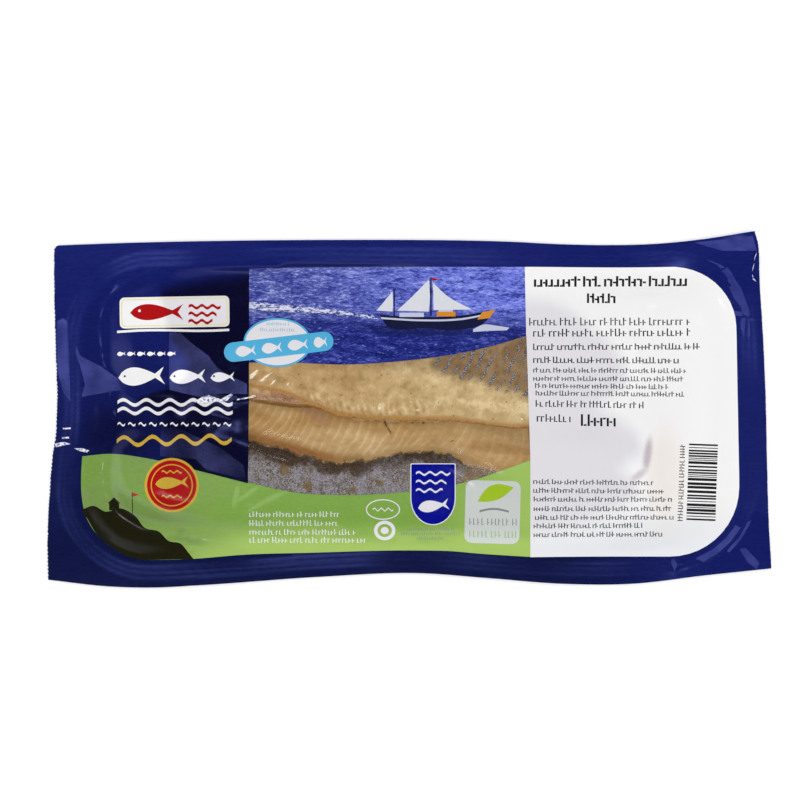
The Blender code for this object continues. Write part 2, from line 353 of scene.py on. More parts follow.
def stack_layers(lattice):
    """Heights over the lattice of each film and of each fillet's underside, and where fish lies."""
    s, t = film_point(lattice.x, lattice.y)
    flange = flange_height(s, t)
    inside = inside_rim(s, t)
    wall = 1 - smooth_step(inside / WALL_WIDTH)
    drawn_up = smooth_step((lattice.x - EMPTY_FROM) / (EMPTY_TO - EMPTY_FROM))
    floor = TRAY_THICKNESS + EMPTY_RISE * drawn_up
    layers = {"bottom_film": floor + (flange - floor) * wall}
    loose = np.zeros(flange.shape, bool)
    below = layers["bottom_film"] + LAYER_GAP
    fish = np.zeros(flange.shape)
    for name, fillet in FILLETS.items():
        under = drape(below, loose, np.full(flange.shape, below.max()), FISH_PULL)
        thickness = fillet_thickness(fillet, lattice.x, lattice.y)
        layers[name] = under
        fish = np.maximum(fish, np.where(thickness > 0, under + thickness + LAYER_GAP, 0))
        below = np.maximum(below, cover_of(fish))
    on_tray = layers["bottom_film"] + SEAL_GAP
    obstacle = np.maximum(on_tray, cover_of(fish))
    held = inside < 0
    layers["top_film"] = drape(obstacle, held, np.where(held, on_tray, obstacle.max()), FILM_PULL)
    layers["over_fish"] = softened((fish > 0).astype(float), COARSE_SOFTENING)
    return layers


# Relief of the printed film. A fold is a ridge from (x, y) to (x, y), with its height, and how far
# its two sides reach, the left one first as seen along it, in mm.
FOLDS = [
    ((-128, 7.0), (-82, 3.0), 0.30, 4.0, 1.4),
    ((-80.5, 2.2), (-56.0, 4.6), 0.30, 1.2, 0.6),
    ((-76.0, -0.6), (-62.0, 2.2), 0.20, 0.8, 0.6),
    ((-125.4, 24.0), (-111, 7.2), 0.40, 0.8, 7.0),
    ((-89.5, 28.6), (-86.0, 7.0), 0.50, 6.5, 0.8),
    ((-86.5, 29.0), (-60.5, 7.4), 0.35, 0.7, 5.0),
    ((-93.8, -5.5), (-84.0, -26.5), 0.35, 4.5, 0.8),
    ((-62.2, -37.4), (-47.6, -30.2), 0.25, 1.0, 0.8),
    ((-58.0, -40.0), (-44.0, -32.0), 0.20, 1.0, 0.8),
    ((84.6, -8.0), (88.0, -20.0), 0.8, 1.2, 5.0),
    ((88.0, -20.0), (82.0, -27.5), 0.6, 1.4, 4.0),
    ((91.0, -18.5), (101.0, -20.5), 0.4, 1.0, 1.6),
    ((123.8, -50.9), (132.8, -60.2), 0.35, 1.0, 3.2),
    ((111.5, -50.5), (124.0, -43.0), 0.25, 0.7, 1.2),
    ((117.0, -46.5), (127.0, -38.0), 0.25, 0.7, 1.2),
]
FOLD_ROUNDING = 0.35
EMBOSSED_LINES = (-2.4, -4.6, -6.8)
EMBOSS_HEIGHT = 0.10
EMBOSS_WIDTH = 0.45
KNURL_FROM, KNURL_TO, KNURL_Y = -90.0, -46.0, -60.6
KNURL_PITCH = 1.3
KNURL_WIDTH = 1.0
KNURL_HEIGHT = 0.12
LUMPS = ((26.0, 0.45, 11), (9.0, 0.16, 12), (3.2, 0.045, 13))
WALL_PLEATS = 46
WALL_PLEAT_HEIGHT = 0.20
PLEATED_WALL = (0, 16, 3, 8)
DENT = (89.0, -17.0, 6.5, 1.3)


# Flat places in the crumpled film, which mirror the small lamp, as outlines in mm
FACETS = [
    [(106.8, 62.5), (118.7, 63.7), (128.6, 64.9), (130.2, 59.4), (117.5, 59.3), (111.7, 61.0)],
    [(110.4, 56.6), (116.2, 54.4), (118.3, 53.2), (116.8, 52.6), (115.6, 54.0)],
    [(117.2, 52.0), (119.3, 53.2), (121.1, 50.8), (122.7, 48.0), (121.0, 46.4), (119.6, 47.6), (119.3, 49.2)],
    [(119.9, 45.9), (121.0, 46.4), (122.7, 48.0), (124.5, 45.3), (126.0, 41.6), (121.8, 41.6), (121.1, 43.4)],
    [(121.8, 41.6), (126.0, 41.6), (127.6, 36.7), (127.6, 34.6), (125.1, 35.8), (124.5, 38.3)],
    [(121.9, 37.0), (124.8, 36.6), (125.0, 35.0), (122.0, 35.2)],
    [(127.0, 34.2), (129.3, 33.9), (129.4, 33.3), (127.2, 33.2)],
    [(124.7, 34.4), (126.2, 34.3), (126.0, 30.6), (125.6, 26.6), (124.5, 30.6)],
    [(127.1, 33.4), (127.7, 33.2), (127.9, 28.0), (127.2, 26.6)],
    [(-124.9, 23.6), (-123.1, 20.0), (-116.0, 16.3), (-109.1, 11.5), (-108.1, 7.3), (-122.8, 4.7),
     (-121.5, 9.4), (-123.3, 16.3), (-124.9, 21.0)],
    [(-132.0, 33.0), (-129.8, 34.2), (-128.2, 33.0), (-127.4, 18.0), (-126.9, 2.6), (-129.6, 6.4),
     (-131.8, 14.0)],
    [(-89.7, 29.2), (-85.5, 28.6), (-81.8, 25.2), (-74.9, 20.0), (-71.8, 15.7), (-68.1, 13.1), (-60.6, 9.6),
     (-60.6, 5.7), (-70.0, 5.9), (-78.6, 4.7), (-89.7, 7.3)],
    [(-92.8, -6.4), (-86.0, -7.4), (-78.6, -10.6), (-70.7, -14.3), (-61.8, -21.1), (-61.0, -26.6),
     (-76.0, -22.6), (-80.0, -18.6), (-93.2, -17.6)],
    [(-76.0, -0.8), (-73.0, -1.2), (-66.6, -3.4), (-67.4, -3.9), (-73.6, -2.2)],
    [(107.4, -55.9), (114.0, -52.4), (118.9, -48.1), (122.4, -43.3), (124.3, -44.4), (120.5, -49.6),
     (115.3, -54.2), (110.1, -57.1)],
    [(119.1, -52.9), (123.7, -47.9), (127.0, -42.1), (128.6, -41.5), (124.6, -48.6), (119.9, -53.8)],
    [(123.8, -52.4), (126.0, -51.8), (131.2, -57.4), (130.2, -59.8), (127.0, -57.6)],
    [(98.2, -56.4), (99.6, -56.2), (100.6, -58.2), (99.6, -60.6), (98.6, -58.6)],
]

# Painted glints: small places where the film's folds catch the light, painted pale instead of mirrored, as
# outlines in mm
PAINTED_GLINTS = [
    [(-80.5, 2.7), (-77.5, 4.7), (-75.0, 5.3), (-72.2, 4.4), (-72.6, 3.1), (-76.0, 2.4)],
    [(-71.6, 3.1), (-69.6, 4.3), (-66.6, 5.9), (-65.9, 5.4), (-68.0, 3.3), (-70.0, 2.6)],
    [(-64.5, 3.4), (-58.2, 4.4), (-57.2, 4.9), (-57.5, 5.4), (-58.6, 5.2), (-60.6, 4.5), (-64.2, 3.9)],
    [(-59.6, 11.6), (-58.6, 11.4), (-56.0, 14.6), (-56.7, 15.0), (-59.4, 13.0)],
    [(-56.0, 10.6), (-54.7, 10.4), (-52.0, 13.0), (-50.6, 14.0), (-53.6, 12.6)],
    [(-52.0, 9.1), (-50.8, 9.4), (-49.7, 11.2), (-50.9, 10.6)],
    [(-46.2, 8.5), (-45.2, 8.9), (-44.8, 10.1), (-45.6, 9.5)],
    [(-11.8, -0.1), (-10.7, 0.0), (-10.6, 2.2), (-11.2, 1.8)],
    [(1.6, -0.4), (4.2, -0.5), (3.6, 0.0)],
    [(41.6, -4.0), (42.6, -4.0), (42.5, -3.3), (41.9, -3.3)],
    [(-129.8, -6.9), (-126.8, -6.8), (-126.9, -7.4), (-129.6, -7.5)],
    [(-130.2, -10.4), (-127.6, -10.3), (-127.4, -10.9), (-130.0, -11.0)],
    [(-132.8, -12.9), (-131.0, -12.4), (-129.0, -12.3), (-126.8, -13.0), (-129.0, -13.4), (-132.4, -14.2)],
    [(-125.6, -14.6), (-122.5, -14.6), (-119.8, -15.4), (-120.8, -16.2), (-123.6, -15.6)],
    [(130.3, 59.0), (129.4, 57.2), (129.2, 55.6), (129.7, 57.0)],
    [(129.3, 55.0), (128.7, 53.0), (128.6, 51.6), (129.1, 53.2)],
    [(128.5, 50.8), (128.9, 48.6), (130.2, 47.8), (129.2, 49.2)],
]


def fold_relief(x, y, start, end, height, left_reach, right_reach):
    """Height that one fold adds."""
    (x0, y0), (x1, y1) = start, end
    length = np.hypot(x1 - x0, y1 - y0)
    along = ((x - x0) * (x1 - x0) + (y - y0) * (y1 - y0)) / length
    aside = ((y - y0) * (x1 - x0) - (x - x0) * (y1 - y0)) / length
    away = np.hypot(aside, FOLD_ROUNDING) - FOLD_ROUNDING
    side = np.exp(-away / np.where(aside > 0, left_reach, right_reach))
    taper = min(length / 2, 6.0)
    return height * side * smooth_step(along / taper) * smooth_step((length - along) / taper)


def film_relief(x, y):
    """Unevenness of the printed film over the form that it is drawn to."""
    s, t = film_point(x, y)
    inside = inside_rim(s, t)
    relief = uneven(x, y, LUMPS)
    for line in EMBOSSED_LINES:
        relief += EMBOSS_HEIGHT * bell(inside - line, EMBOSS_WIDTH)
    round_the_rim = np.arctan2(t / HALF_WIDTH, s / HALF_LENGTH)
    pleats = np.sin(WALL_PLEATS * round_the_rim + 3 * value_noise(x, y, 20.0, 21))
    on_wall = between(inside, *PLEATED_WALL)
    relief += WALL_PLEAT_HEIGHT * pleats * on_wall * (0.5 + 0.5 * value_noise(x, y, 14.0, 22))
    knurled = between(x, KNURL_FROM, KNURL_TO, 4, 4)
    knurled = knurled * bell(y - KNURL_Y - 0.02 * (x - KNURL_FROM), KNURL_WIDTH)
    relief += KNURL_HEIGHT * knurled * np.sin(2 * pi * (x + 0.4 * y) / KNURL_PITCH)
    for fold in FOLDS:
        relief += fold_relief(x, y, *fold)
    dent_x, dent_y, reach, depth = DENT
    relief -= depth * np.exp(-(((x - dent_x) / reach) ** 2 + ((y - dent_y) / (1.6 * reach)) ** 2))
    return relief


def floor_under_lid(lattice, layers):
    """The lowest that the printed film can lie: on the tray, and on the fish where there is some."""
    lowest = layers["bottom_film"] + SEAL_GAP
    for name, fillet in FILLETS.items():
        thickness = fillet_thickness(fillet, lattice.x, lattice.y)
        on_fish = layers[name] + thickness + LID_CLEARANCE
        lowest = np.maximum(lowest, np.where(thickness > 0, on_fish, 0))
    return lowest


@functools.cache
def pack_form():
    """The fine lattice and, over it, the heights of every layer and the film's slopes."""
    coarse, fine = Lattice(COARSE_CELL), Lattice(FINE_CELL)
    layers = {
        name: softened(coarse.read(heights, fine.x, fine.y), FINE_SOFTENING)
        for name, heights in stack_layers(coarse).items()
    }
    lid = layers["top_film"] + film_relief(fine.x, fine.y)
    layers["top_film"] = np.maximum(lid, softened(floor_under_lid(fine, layers), 3))
    slope_x, slope_y = np.gradient(layers["top_film"], FINE_CELL)
    return fine, layers, slope_x, slope_y


def turned(outline, centre, tilt):
    """An outline turned about a centre by a tilt in degrees."""
    c, s = cos(radians(tilt)), sin(radians(tilt))
    return (np.asarray(outline) - centre) @ np.array([[c, s], [-s, c]]) + centre


def smooth_path(points, step=1.0):
    """Points along the smooth line through the points given."""
    points = np.array(points, float)
    along = np.concatenate([[0.0], np.cumsum(np.hypot(*np.diff(points, axis=0).T))])
    at = np.linspace(0, along[-1], max(2, int(along[-1] / step) + 1))
    return np.stack([smooth_line(list(zip(along, axis)), at) for axis in points.T], axis=1)


def smooth_outline(*runs):
    """An outline made of smooth runs of points, one after another."""
    return np.concatenate([smooth_path(run) for run in runs])


def arc(centre, radii, start, end, steps=12):
    """Points along part of an ellipse, between two angles in degrees."""
    angle = np.radians(np.linspace(start, end, steps))
    return np.stack([centre[0] + radii[0] * np.cos(angle), centre[1] + radii[1] * np.sin(angle)], axis=1)


def ellipse(centre, radii, tilt=0.0, steps=40):
    return turned(arc(centre, radii, 0, 360 * (1 - 1 / steps), steps), centre, tilt)


def rounded_box(centre, size, radius, tilt=0.0, steps=6):
    """A rectangle with round corners."""
    half = np.array(size) / 2 - radius
    corners = [((1, 1), 0), ((-1, 1), 90), ((-1, -1), 180), ((1, -1), 270)]
    parts = [
        arc(np.array(centre) + half * side, (radius, radius), start, start + 90, steps)
        for side, start in corners
    ]
    return turned(np.concatenate(parts), centre, tilt)


def box(x0, y0, x1, y1):
    return np.array([(x0, y0), (x1, y0), (x1, y1), (x0, y1)], float)


def fish_shape(nose, length, height, tilt=0.0):
    """A plain fish that swims left: a lens with a forked tail."""
    t = np.linspace(0, 1, 12)
    back = np.stack([0.80 * length * t, height / 2 * np.sin(pi * t**0.72 * 0.93)], axis=1)
    fork = [(length, 0.46 * height), (0.90 * length, 0.0), (length, -0.46 * height)]
    belly = back[::-1] * (1, -0.9)
    return turned(np.concatenate([back, fork, belly[:-1]]) + nose, nose, tilt)


def wave_rule(x0, x1, y, thickness, rise, length, lift=0.0, step=0.5):
    """A wavy line of even thickness."""
    x = np.linspace(x0, x1, int((x1 - x0) / step) + 1)
    line = y + rise * np.sin(2 * pi * (x - x0) / length) + lift * (x - x0)
    upper, lower = np.stack([x, line + thickness / 2], 1), np.stack([x, line - thickness / 2], 1)
    return np.concatenate([upper, lower[::-1]])


def leaf_shape(stem, tip, fatness):
    """A pointed leaf between its stem and its tip."""
    (x0, y0), (x1, y1) = stem, tip
    t = np.linspace(0, 1, 9)[:, None]
    line = np.array(stem) * (1 - t) + np.array(tip) * t
    aside = np.array([y0 - y1, x1 - x0]) * fatness * np.sin(pi * t)
    return np.concatenate([line + aside, (line - 0.55 * aside)[-2:0:-1]])


def type_line(ink, x0, x1, y, height, seed, bold=1.0, lift=0.0, tall_share=0.35):
    """A line of small print as plain strokes in groups, each with its ink."""
    random = np.random.default_rng(seed)
    strokes, x = [], x0
    while x < x1:
        for _ in range(random.integers(2, 9)):
            tall = height if random.random() < tall_share else 0.72 * height
            foot = y + lift * (x - x0)
            thick = 0.17 * height * bold
            strokes.append(box(x, foot, x + thick, foot + tall))
            dash = foot + random.choice([0.0, 0.30, 0.58]) * height
            strokes.append(box(x + 1.25 * thick, dash, x + 2.6 * thick, dash + 0.13 * height * bold))
            x += height * random.uniform(0.50, 0.62)
        x += 0.30 * height
    return [(ink, stroke) for stroke in strokes if stroke[:, 0].max() < x1]


# The print, in mm over the pack's plan
PLAQUE, BADGE, MEDALLION = (-87.8, 36.4), (-49.2, 25.0), (-88.8, -28.4)
RIBBON, RIBBON_TILT = (-48.7, 23.4), 6.8
OVAL, RING = (-9.75, -37.5), (-9.1, -45.4)
BARS_TOP, BARS_BOTTOM = -13.0, -42.2
PANEL_LEFT_TOP, PANEL_LEFT_BOTTOM = (43.4, 53.4), (45.5, -55.4)
PICTURE_LEFT_TOP = (-59.8, 52.8)
MEADOW_TOP = [(-122.5, -17.6), (-112, -16.7), (-98.4, -18.3), (-78.4, -23.1), (-60.3, -27.7)]
MEADOW_LEFT = [(-99.3, -56.5), (-104.7, -55.4), (-111.1, -52.0), (-116.6, -47.4), (-121.1, -40.2),
               (-122.7, -32.9), (-122.9, -23.8), (-122.5, -17.6)]
MEADOW_BOTTOM = [(45.5, -55.3), (26.6, -54.1), (14.8, -53.1), (4.1, -52.9), (-38.4, -53.8), (-60.2, -54.4),
                 (-83.9, -56.2), (-99.3, -56.5)]
CLIFFS = [(-122.6, -37.6), (-118.5, -36.2), (-114, -38.4), (-108, -37.2), (-103, -39.8), (-99, -44.6),
          (-94, -45.8), (-90, -49.5), (-86, -50.2), (-82.5, -54.0), (-80.5, -56.4)]


def window_outline():
    """The clear window's outline."""
    sides = []
    for side in (WINDOW_BOTTOM, WINDOW_TOP):
        x = np.linspace(side[0][0], side[-1][0], 60)
        sides.append(np.stack([x, smooth_line(side, x)], axis=1))
    return np.concatenate([sides[0], sides[1][::-1]])


def ground_shapes():
    """The large fields of the print: picture, panel, meadow, cliffs and window."""
    upper_edge = [PICTURE_LEFT_TOP, (-20, 53.3), PANEL_LEFT_TOP]
    sea = np.concatenate([smooth_outline(upper_edge, WINDOW_TOP[::-1]), [PICTURE_LEFT_TOP]])
    panel = np.concatenate([
        [PANEL_LEFT_TOP],
        smooth_path([(46, 53.4), (84, 53.2), (100, 53.4)]),
        arc((98.5, 30.5), (24.2, 22.9), 86, 2),
        smooth_path([(122.8, 28.0), (123.3, 0.0), (123.8, -26.0)]),
        arc((97.6, -29.0), (26.2, 26.2), 0, -90),
        smooth_path([(94, -55.2), (70, -55.2), PANEL_LEFT_BOTTOM]),
    ])
    meadow = np.concatenate([
        smooth_outline(MEADOW_TOP, WINDOW_BOTTOM), [PANEL_LEFT_BOTTOM],
        smooth_path(MEADOW_BOTTOM), smooth_path(MEADOW_LEFT)[:-1],
    ])
    below_cliffs = [point for point in MEADOW_LEFT if point[1] < -37]
    cliffs = np.concatenate([
        smooth_path(CLIFFS), smooth_path(MEADOW_BOTTOM[-2:])[1:], smooth_path(below_cliffs),
    ])
    fields = {"sea": sea, "panel": panel, "meadow": meadow, "cliff": cliffs, "clear": window_outline()}
    return list(fields.items())


def picture_shapes():
    """A small sailing boat with spray at its bow, and on the cliffs a hut and a mast with a flag."""
    keel = [(-11, 35.4), (-8.6, 31.6), (6, 30.4), (22, 30.2), (27, 31.6), (32.4, 37.4)]
    deck = [(32.4, 37.4), (20, 35.2), (4, 34.6), (-11, 35.4)]
    stripe = smooth_outline(
        [(-10.6, 34.5), (4, 33.7), (20, 34.2), (31.6, 36.4)],
        [(31.0, 35.6), (20, 33.5), (4, 33.0), (-10.3, 33.8)],
    )
    spray = smooth_outline(
        [(24.0, 30.0), (28.0, 31.8), (32.4, 31.4), (37.6, 30.6)],
        [(36.6, 29.6), (30.0, 29.4), (24.0, 29.0)],
    )
    main_sail = smooth_outline([(7.4, 36.6), (7.8, 42), (7.4, 48.6)], [(1.0, 42), (-4.4, 37.0)])
    jib = np.concatenate([smooth_path([(9.0, 47.4), (14.4, 42.4), (23.6, 37.4)]), [(9.2, 37.2)]])
    mizzen = smooth_outline([(-6.2, 36.6), (-6.0, 40), (-6.2, 44.2)], [(-9.6, 40), (-12.2, 37.0)])
    return [
        ("hull", np.concatenate([smooth_path(keel), smooth_path(deck)[1:-1]])),
        ("foam", stripe),
        ("foam", spray),
        ("sail", main_sail),
        ("sail", jib),
        ("sail", mizzen),
        ("hull", box(7.9, 35.0, 8.5, 49.4)),
        ("hull", box(-5.8, 35.0, -5.3, 45.0)),
        ("foam", box(-3.6, 34.6, 5.6, 36.2)),
        ("orange", box(10.4, 34.8, 17.4, 36.6)),
        ("foam", box(11.0, 36.6, 16.4, 37.3)),
        ("orange", np.array([(25.6, 33.6), (30.2, 34.2), (32.4, 37.4), (27.4, 36.4)])),
        ("red", np.array([(8.6, 49.3), (11.4, 48.7), (8.6, 48.1)])),
        ("cliff", box(-112.6, -37.9, -108.8, -35.2)),
        ("cliff", np.array([(-113.2, -35.3), (-108.2, -35.3), (-110.7, -33.0)])),
        ("cliff", box(-103.9, -40.6, -103.6, -31.0)),
        ("red", np.array([(-103.6, -31.2), (-101.0, -32.0), (-103.6, -32.8)])),
    ]


def title_shapes():
    """The plaque and, below it, rows of fish and waves."""
    shapes = [
        ("panel", rounded_box(PLAQUE, (41.2, 11.6), 1.8, 1.0)),
        ("pale_yellow", rounded_box(PLAQUE, (40.0, 10.4), 1.4, 1.0)),
        ("panel", rounded_box(PLAQUE, (39.2, 9.6), 1.2, 1.0)),
        ("panel", wave_rule(-109.4, -67.2, 29.0, 0.9, 0.35, 46, 0.022)),
        ("red", fish_shape((-104.5, 36.1), 20.0, 6.4, 1.0)),
        ("panel", ellipse((-100.9, 36.9), (0.5, 0.5), steps=10)),
    ]
    for right, y in ((-70.5, 38.4), (-72.0, 35.6), (-73.5, 32.8)):
        shapes.append(("red", wave_rule(-82.5, right, y, 1.1, 0.55, 4.0)))
    for i in range(6):
        shapes.append(("panel", fish_shape((-109.4 + 3.8 * i, 20.6), 3.2, 1.7, 6)))
    for x, length, height in ((-109.0, 17.5, 7.2), (-89.6, 13.5, 5.6), (-74.2, 9.0, 3.8)):
        shapes.append(("panel", fish_shape((x, 11.8), length, height, 3)))
        shapes.append(("navy", ellipse((x + 0.14 * length, 12.4), (0.42, 0.42), steps=10)))
    for y in (2.6, -0.6):
        shapes.append(("panel", wave_rule(-109.4, -66.0, y, 1.3, 1.0, 8.8)))
    for i in range(11):
        left = -109.4 + 4.0 * i
        shapes.append(("panel", wave_rule(left, left + 2.8, -5.6, 0.7, 0.5, 2.8, step=0.3)))
    shapes.append(("gold", wave_rule(-109.6, -66.4, -12.0, 1.5, 1.5, 10.8, 0.02)))
    return shapes


def badge_shapes():
    """The badge over the window's corner, the medallion and the marks along the lower edge."""
    shapes = [
        ("badge_blue", ellipse(BADGE, (12.7, 9.2))),
        ("panel", ellipse(BADGE, (12.0, 8.5))),
        ("badge_blue", rounded_box(RIBBON, (41.2, 7.3), 3.6, RIBBON_TILT)),
    ]
    for x, length in ((-65.0, 7.6), (-55.2, 7.6), (-45.4, 7.6), (-35.6, 5.0)):
        nose = turned([(x, 23.2)], RIBBON, RIBBON_TILT)[0]
        shapes.append(("panel", fish_shape(nose, length, 4.2, RIBBON_TILT)))
    for y, x0, x1, seed in ((29.2, -55.6, -42.6, 51), (31.4, -53.2, -44.8, 52)):
        shapes += type_line("badge_blue", x0, x1, y, 1.3, seed, 0.9)
    for ink, radius, steps in (("gold", 10.2, 56), ("red", 9.3, 56), ("gold", 7.9, 48), ("red", 7.5, 48)):
        shapes.append((ink, ellipse(MEDALLION, (radius, radius), steps=steps)))
    shapes.append(("gold", fish_shape((-95.0, -28.0), 12.4, 4.6, 4)))
    for y in (-23.4, -32.6):
        shapes.append(("gold", wave_rule(-92.6, -85.0, y, 0.6, 0.4, 2.6, step=0.25)))
    shapes += [
        ("panel", ellipse(OVAL, (6.4, 3.85))),
        ("meadow", ellipse(OVAL, (6.0, 3.45))),
        ("panel", wave_rule(-13.6, -5.9, -37.5, 0.45, 0.5, 2.6, step=0.25)),
        ("panel", ellipse(RING, (4.0, 3.7))),
        ("meadow", ellipse(RING, (2.7, 2.45), steps=28)),
        ("panel", ellipse(RING, (1.5, 1.35), steps=20)),
    ]
    blue_mark = np.concatenate([
        smooth_path([(0.5, -20.9), (0.5, -33.4)], 2), arc((9.0, -33.4), (8.5, 10.0), 180, 360, 16),
        smooth_path([(17.5, -33.4), (17.5, -20.9)], 2), arc((17.0, -20.7), (0.5, 0.5), 20, 90, 3),
        arc((1.0, -20.7), (0.5, 0.5), 90, 160, 3),
    ])
    shapes += [("panel", blue_mark), ("mark_blue", (blue_mark - (9, -32)) * (0.957, 0.97) + (9, -32))]
    for right, y in ((15.4, -24.0), (14.0, -27.2), (12.6, -30.4)):
        shapes.append(("panel", wave_rule(2.6, right, y, 0.75, 0.55, 4.2, step=0.35)))
    shapes += [
        ("panel", fish_shape((3.4, -37.0), 11.6, 4.6, 8)),
        ("label", rounded_box((31.3, -38.5), (20.6, 23.6), 2.8, -1.5)),
        ("leaf", leaf_shape((25.6, -34.6), (39.2, -29.2), 0.26)),
        ("grey", wave_rule(26.4, 37.4, -38.2, 0.8, 0.9, 21)),
    ]
    for y, seed, ink in ((-43.2, 61, "grey"), (-47.9, 62, "pale_leaf")):
        shapes += type_line(ink, 22.6, 40.4, y, 2.5, seed, 0.75, -0.02, 1.0)
    for y, seed, x0, x1 in ((-45.4, 63, -0.6, 17.0), (-47.2, 64, -3.0, 19.5), (-49.0, 65, 3.0, 13.0)):
        shapes += type_line("grey", x0, x1, y, 1.3, seed, 0.9, 0, 0.5)
    return shapes


def small_print_shapes():
    """Lines of plain strokes, and a row of plain bars with a line of strokes beside it."""
    shapes = []
    lines = [
        (46.8, 104.4, 45.9, 3.9, 71, 1.35, 0.006), (66.8, 78.6, 39.9, 3.6, 72, 1.35, 0.0),
        (45.0, 106.0, 31.4, 2.9, 73, 0.95, 0.004), (46.5, 106.0, 27.2, 2.9, 74, 1.0, 0.006),
        (46.5, 109.6, 22.2, 2.4, 75, 1.15, 0.005), (46.5, 102.0, 17.4, 2.4, 76, 1.15, -0.003),
        (46.5, 104.4, 13.8, 1.9, 77, 1.15, -0.004), (46.5, 103.0, 10.7, 1.9, 78, 1.15, -0.004),
        (47.2, 97.6, 8.0, 1.9, 79, 1.15, -0.010), (47.4, 103.6, 5.2, 1.9, 80, 1.15, -0.008),
        (47.4, 88.6, 1.0, 2.5, 81, 1.05, -0.016), (47.8, 61.0, -4.6, 2.9, 82, 1.0, -0.02),
        (64.4, 78.4, -6.2, 4.4, 83, 1.1, -0.02),
        (46.5, 92.0, -27.9, 1.9, 84, 1.15, -0.014), (46.5, 96.0, -31.2, 1.9, 85, 1.15, -0.010),
        (46.7, 99.0, -34.5, 1.9, 86, 1.15, -0.004), (46.7, 99.0, -38.1, 1.9, 87, 1.15, -0.001),
        (47.2, 99.6, -41.4, 1.9, 88, 1.15, 0.0), (46.7, 88.0, -44.6, 1.9, 89, 1.15, 0.002),
        (46.7, 95.4, -47.9, 1.9, 90, 1.15, 0.003),
    ]
    for line in lines:
        shapes += type_line("type_black", *line)
    lower_lines = (
        (-26, -40.3, 2.1, 91), (-26.6, -43.6, 2.1, 92), (-20, -47.0, 2.1, 93), (-16.5, -50.0, 2.2, 94)
    )
    for x1, y, height, seed in lower_lines:
        shapes += type_line("panel", -59.8, x1, y, height, seed, 0.9)
    random = np.random.default_rng(95)
    bars = []
    y = BARS_TOP
    while y > BARS_BOTTOM:
        bar = random.choice([0.33, 0.66, 0.99])
        bars.append(box(104.6, y - bar, 115.4, y))
        y -= bar + random.choice([0.33, 0.66])
    for _, stroke in type_line("type_black", 0, 29.0, 0, 1.9, 96, 1.1, 0, 1.0):
        bars.append(np.stack([103.2 - stroke[:, 1], stroke[:, 0] + BARS_BOTTOM], axis=1))
    return shapes + [("type_black", turned(bar, (110, -28), -2.0)) for bar in bars]


@functools.cache
def print_shapes():
    """Every shape of the print as (ink, outline), in the order that they are printed."""
    return ground_shapes() + picture_shapes() + title_shapes() + badge_shapes() + small_print_shapes()


def within(outline, x, y):
    """Whether each point lies inside an outline."""
    inside = np.zeros(len(x), bool)
    for (x0, y0), (x1, y1) in zip(outline, np.roll(outline, -1, axis=0)):
        if y0 != y1:
            crosses = ((y0 > y) != (y1 > y)) & (x < (x1 - x0) * (y - y0) / (y1 - y0) + x0)
            inside ^= crosses
    return inside


def split_long(outline, step):
    """An outline with its long sides split, so that it follows the film's form."""
    ahead = np.roll(outline, -1, axis=0)
    parts = []
    for start, end in zip(outline, ahead):
        count = max(1, int(np.ceil(np.hypot(*(end - start)) / step)))
        parts.append(start + (end - start) * np.arange(count)[:, None] / count)
    return np.concatenate(parts)


def film_border():
    """Points round the edge of the flat film, close enough for the saw's teeth."""
    end = np.arange(-HALF_WIDTH, HALF_WIDTH, SAW_PITCH / 4)
    side = np.arange(-HALF_LENGTH, HALF_LENGTH, FILM_SPACING)
    return np.concatenate([
        np.stack([side, np.full(len(side), -HALF_WIDTH)], axis=1),
        np.stack([np.full(len(end), HALF_LENGTH), end], axis=1),
        np.stack([-side, np.full(len(side), HALF_WIDTH)], axis=1),
        np.stack([np.full(len(end), -HALF_LENGTH), -end], axis=1),
    ])


def film_field(fixed):
    """Points spread evenly over the flat film, apart from those that would crowd a fixed one."""
    rows = np.arange(-HALF_WIDTH + FILM_SPACING, HALF_WIDTH - FILM_SPACING / 2, ROW_SPACING)
    columns = np.arange(-HALF_LENGTH + FILM_SPACING, HALF_LENGTH - FILM_SPACING / 2, FILM_SPACING)
    s, t = np.meshgrid(columns, rows, indexing="ij")
    s = s + np.where(np.arange(len(rows)) % 2, ROW_SHIFT, -ROW_SHIFT)
    field = np.stack([s.ravel(), t.ravel()], axis=1)
    corner = np.array([HALF_LENGTH, HALF_WIDTH])
    taken = np.zeros((2 * corner / EDGE_CLEARANCE).astype(int) + 3, bool)
    taken[tuple(((fixed + corner) / EDGE_CLEARANCE).astype(int).T)] = True
    i, j = ((field + corner) / EDGE_CLEARANCE).astype(int).T
    steps = (-1, 0, 1)
    crowded = np.any([taken[i + step_i, j + step_j] for step_i in steps for step_j in steps], axis=0)
    return field[~crowded]


def cut_ends(s, t):
    """Plan points of the film, with its left end saw-cut, its right end uneven and a corner clipped."""
    x, y = plan_of(s, t)
    wander = value_noise(t, 0 * t, *SAW_LUMPS)
    saw = np.abs(((t + SAW_WANDER * wander) / SAW_PITCH) % 1 - 0.5) * 2 * SAW_DEPTH * (1 + 0.45 * wander)
    fine_saw = FINE_SAW * np.abs(value_noise(t, 0 * t, *FINE_SAW_LUMPS))
    at_left, at_right = s < -HALF_LENGTH + AT_EDGE, s > HALF_LENGTH - AT_EDGE
    x = x + np.where(at_left, saw, 0) - np.where(at_right, fine_saw, 0)
    near_top = np.clip(1 - (HALF_WIDTH - t) / CORNER_CUT, 0, 1)
    near_left = np.clip(1 - (s + HALF_LENGTH) / CORNER_CUT, 0, 1)
    clipped = CORNER_SLANT * (near_top * near_left)
    return x + clipped, y - clipped


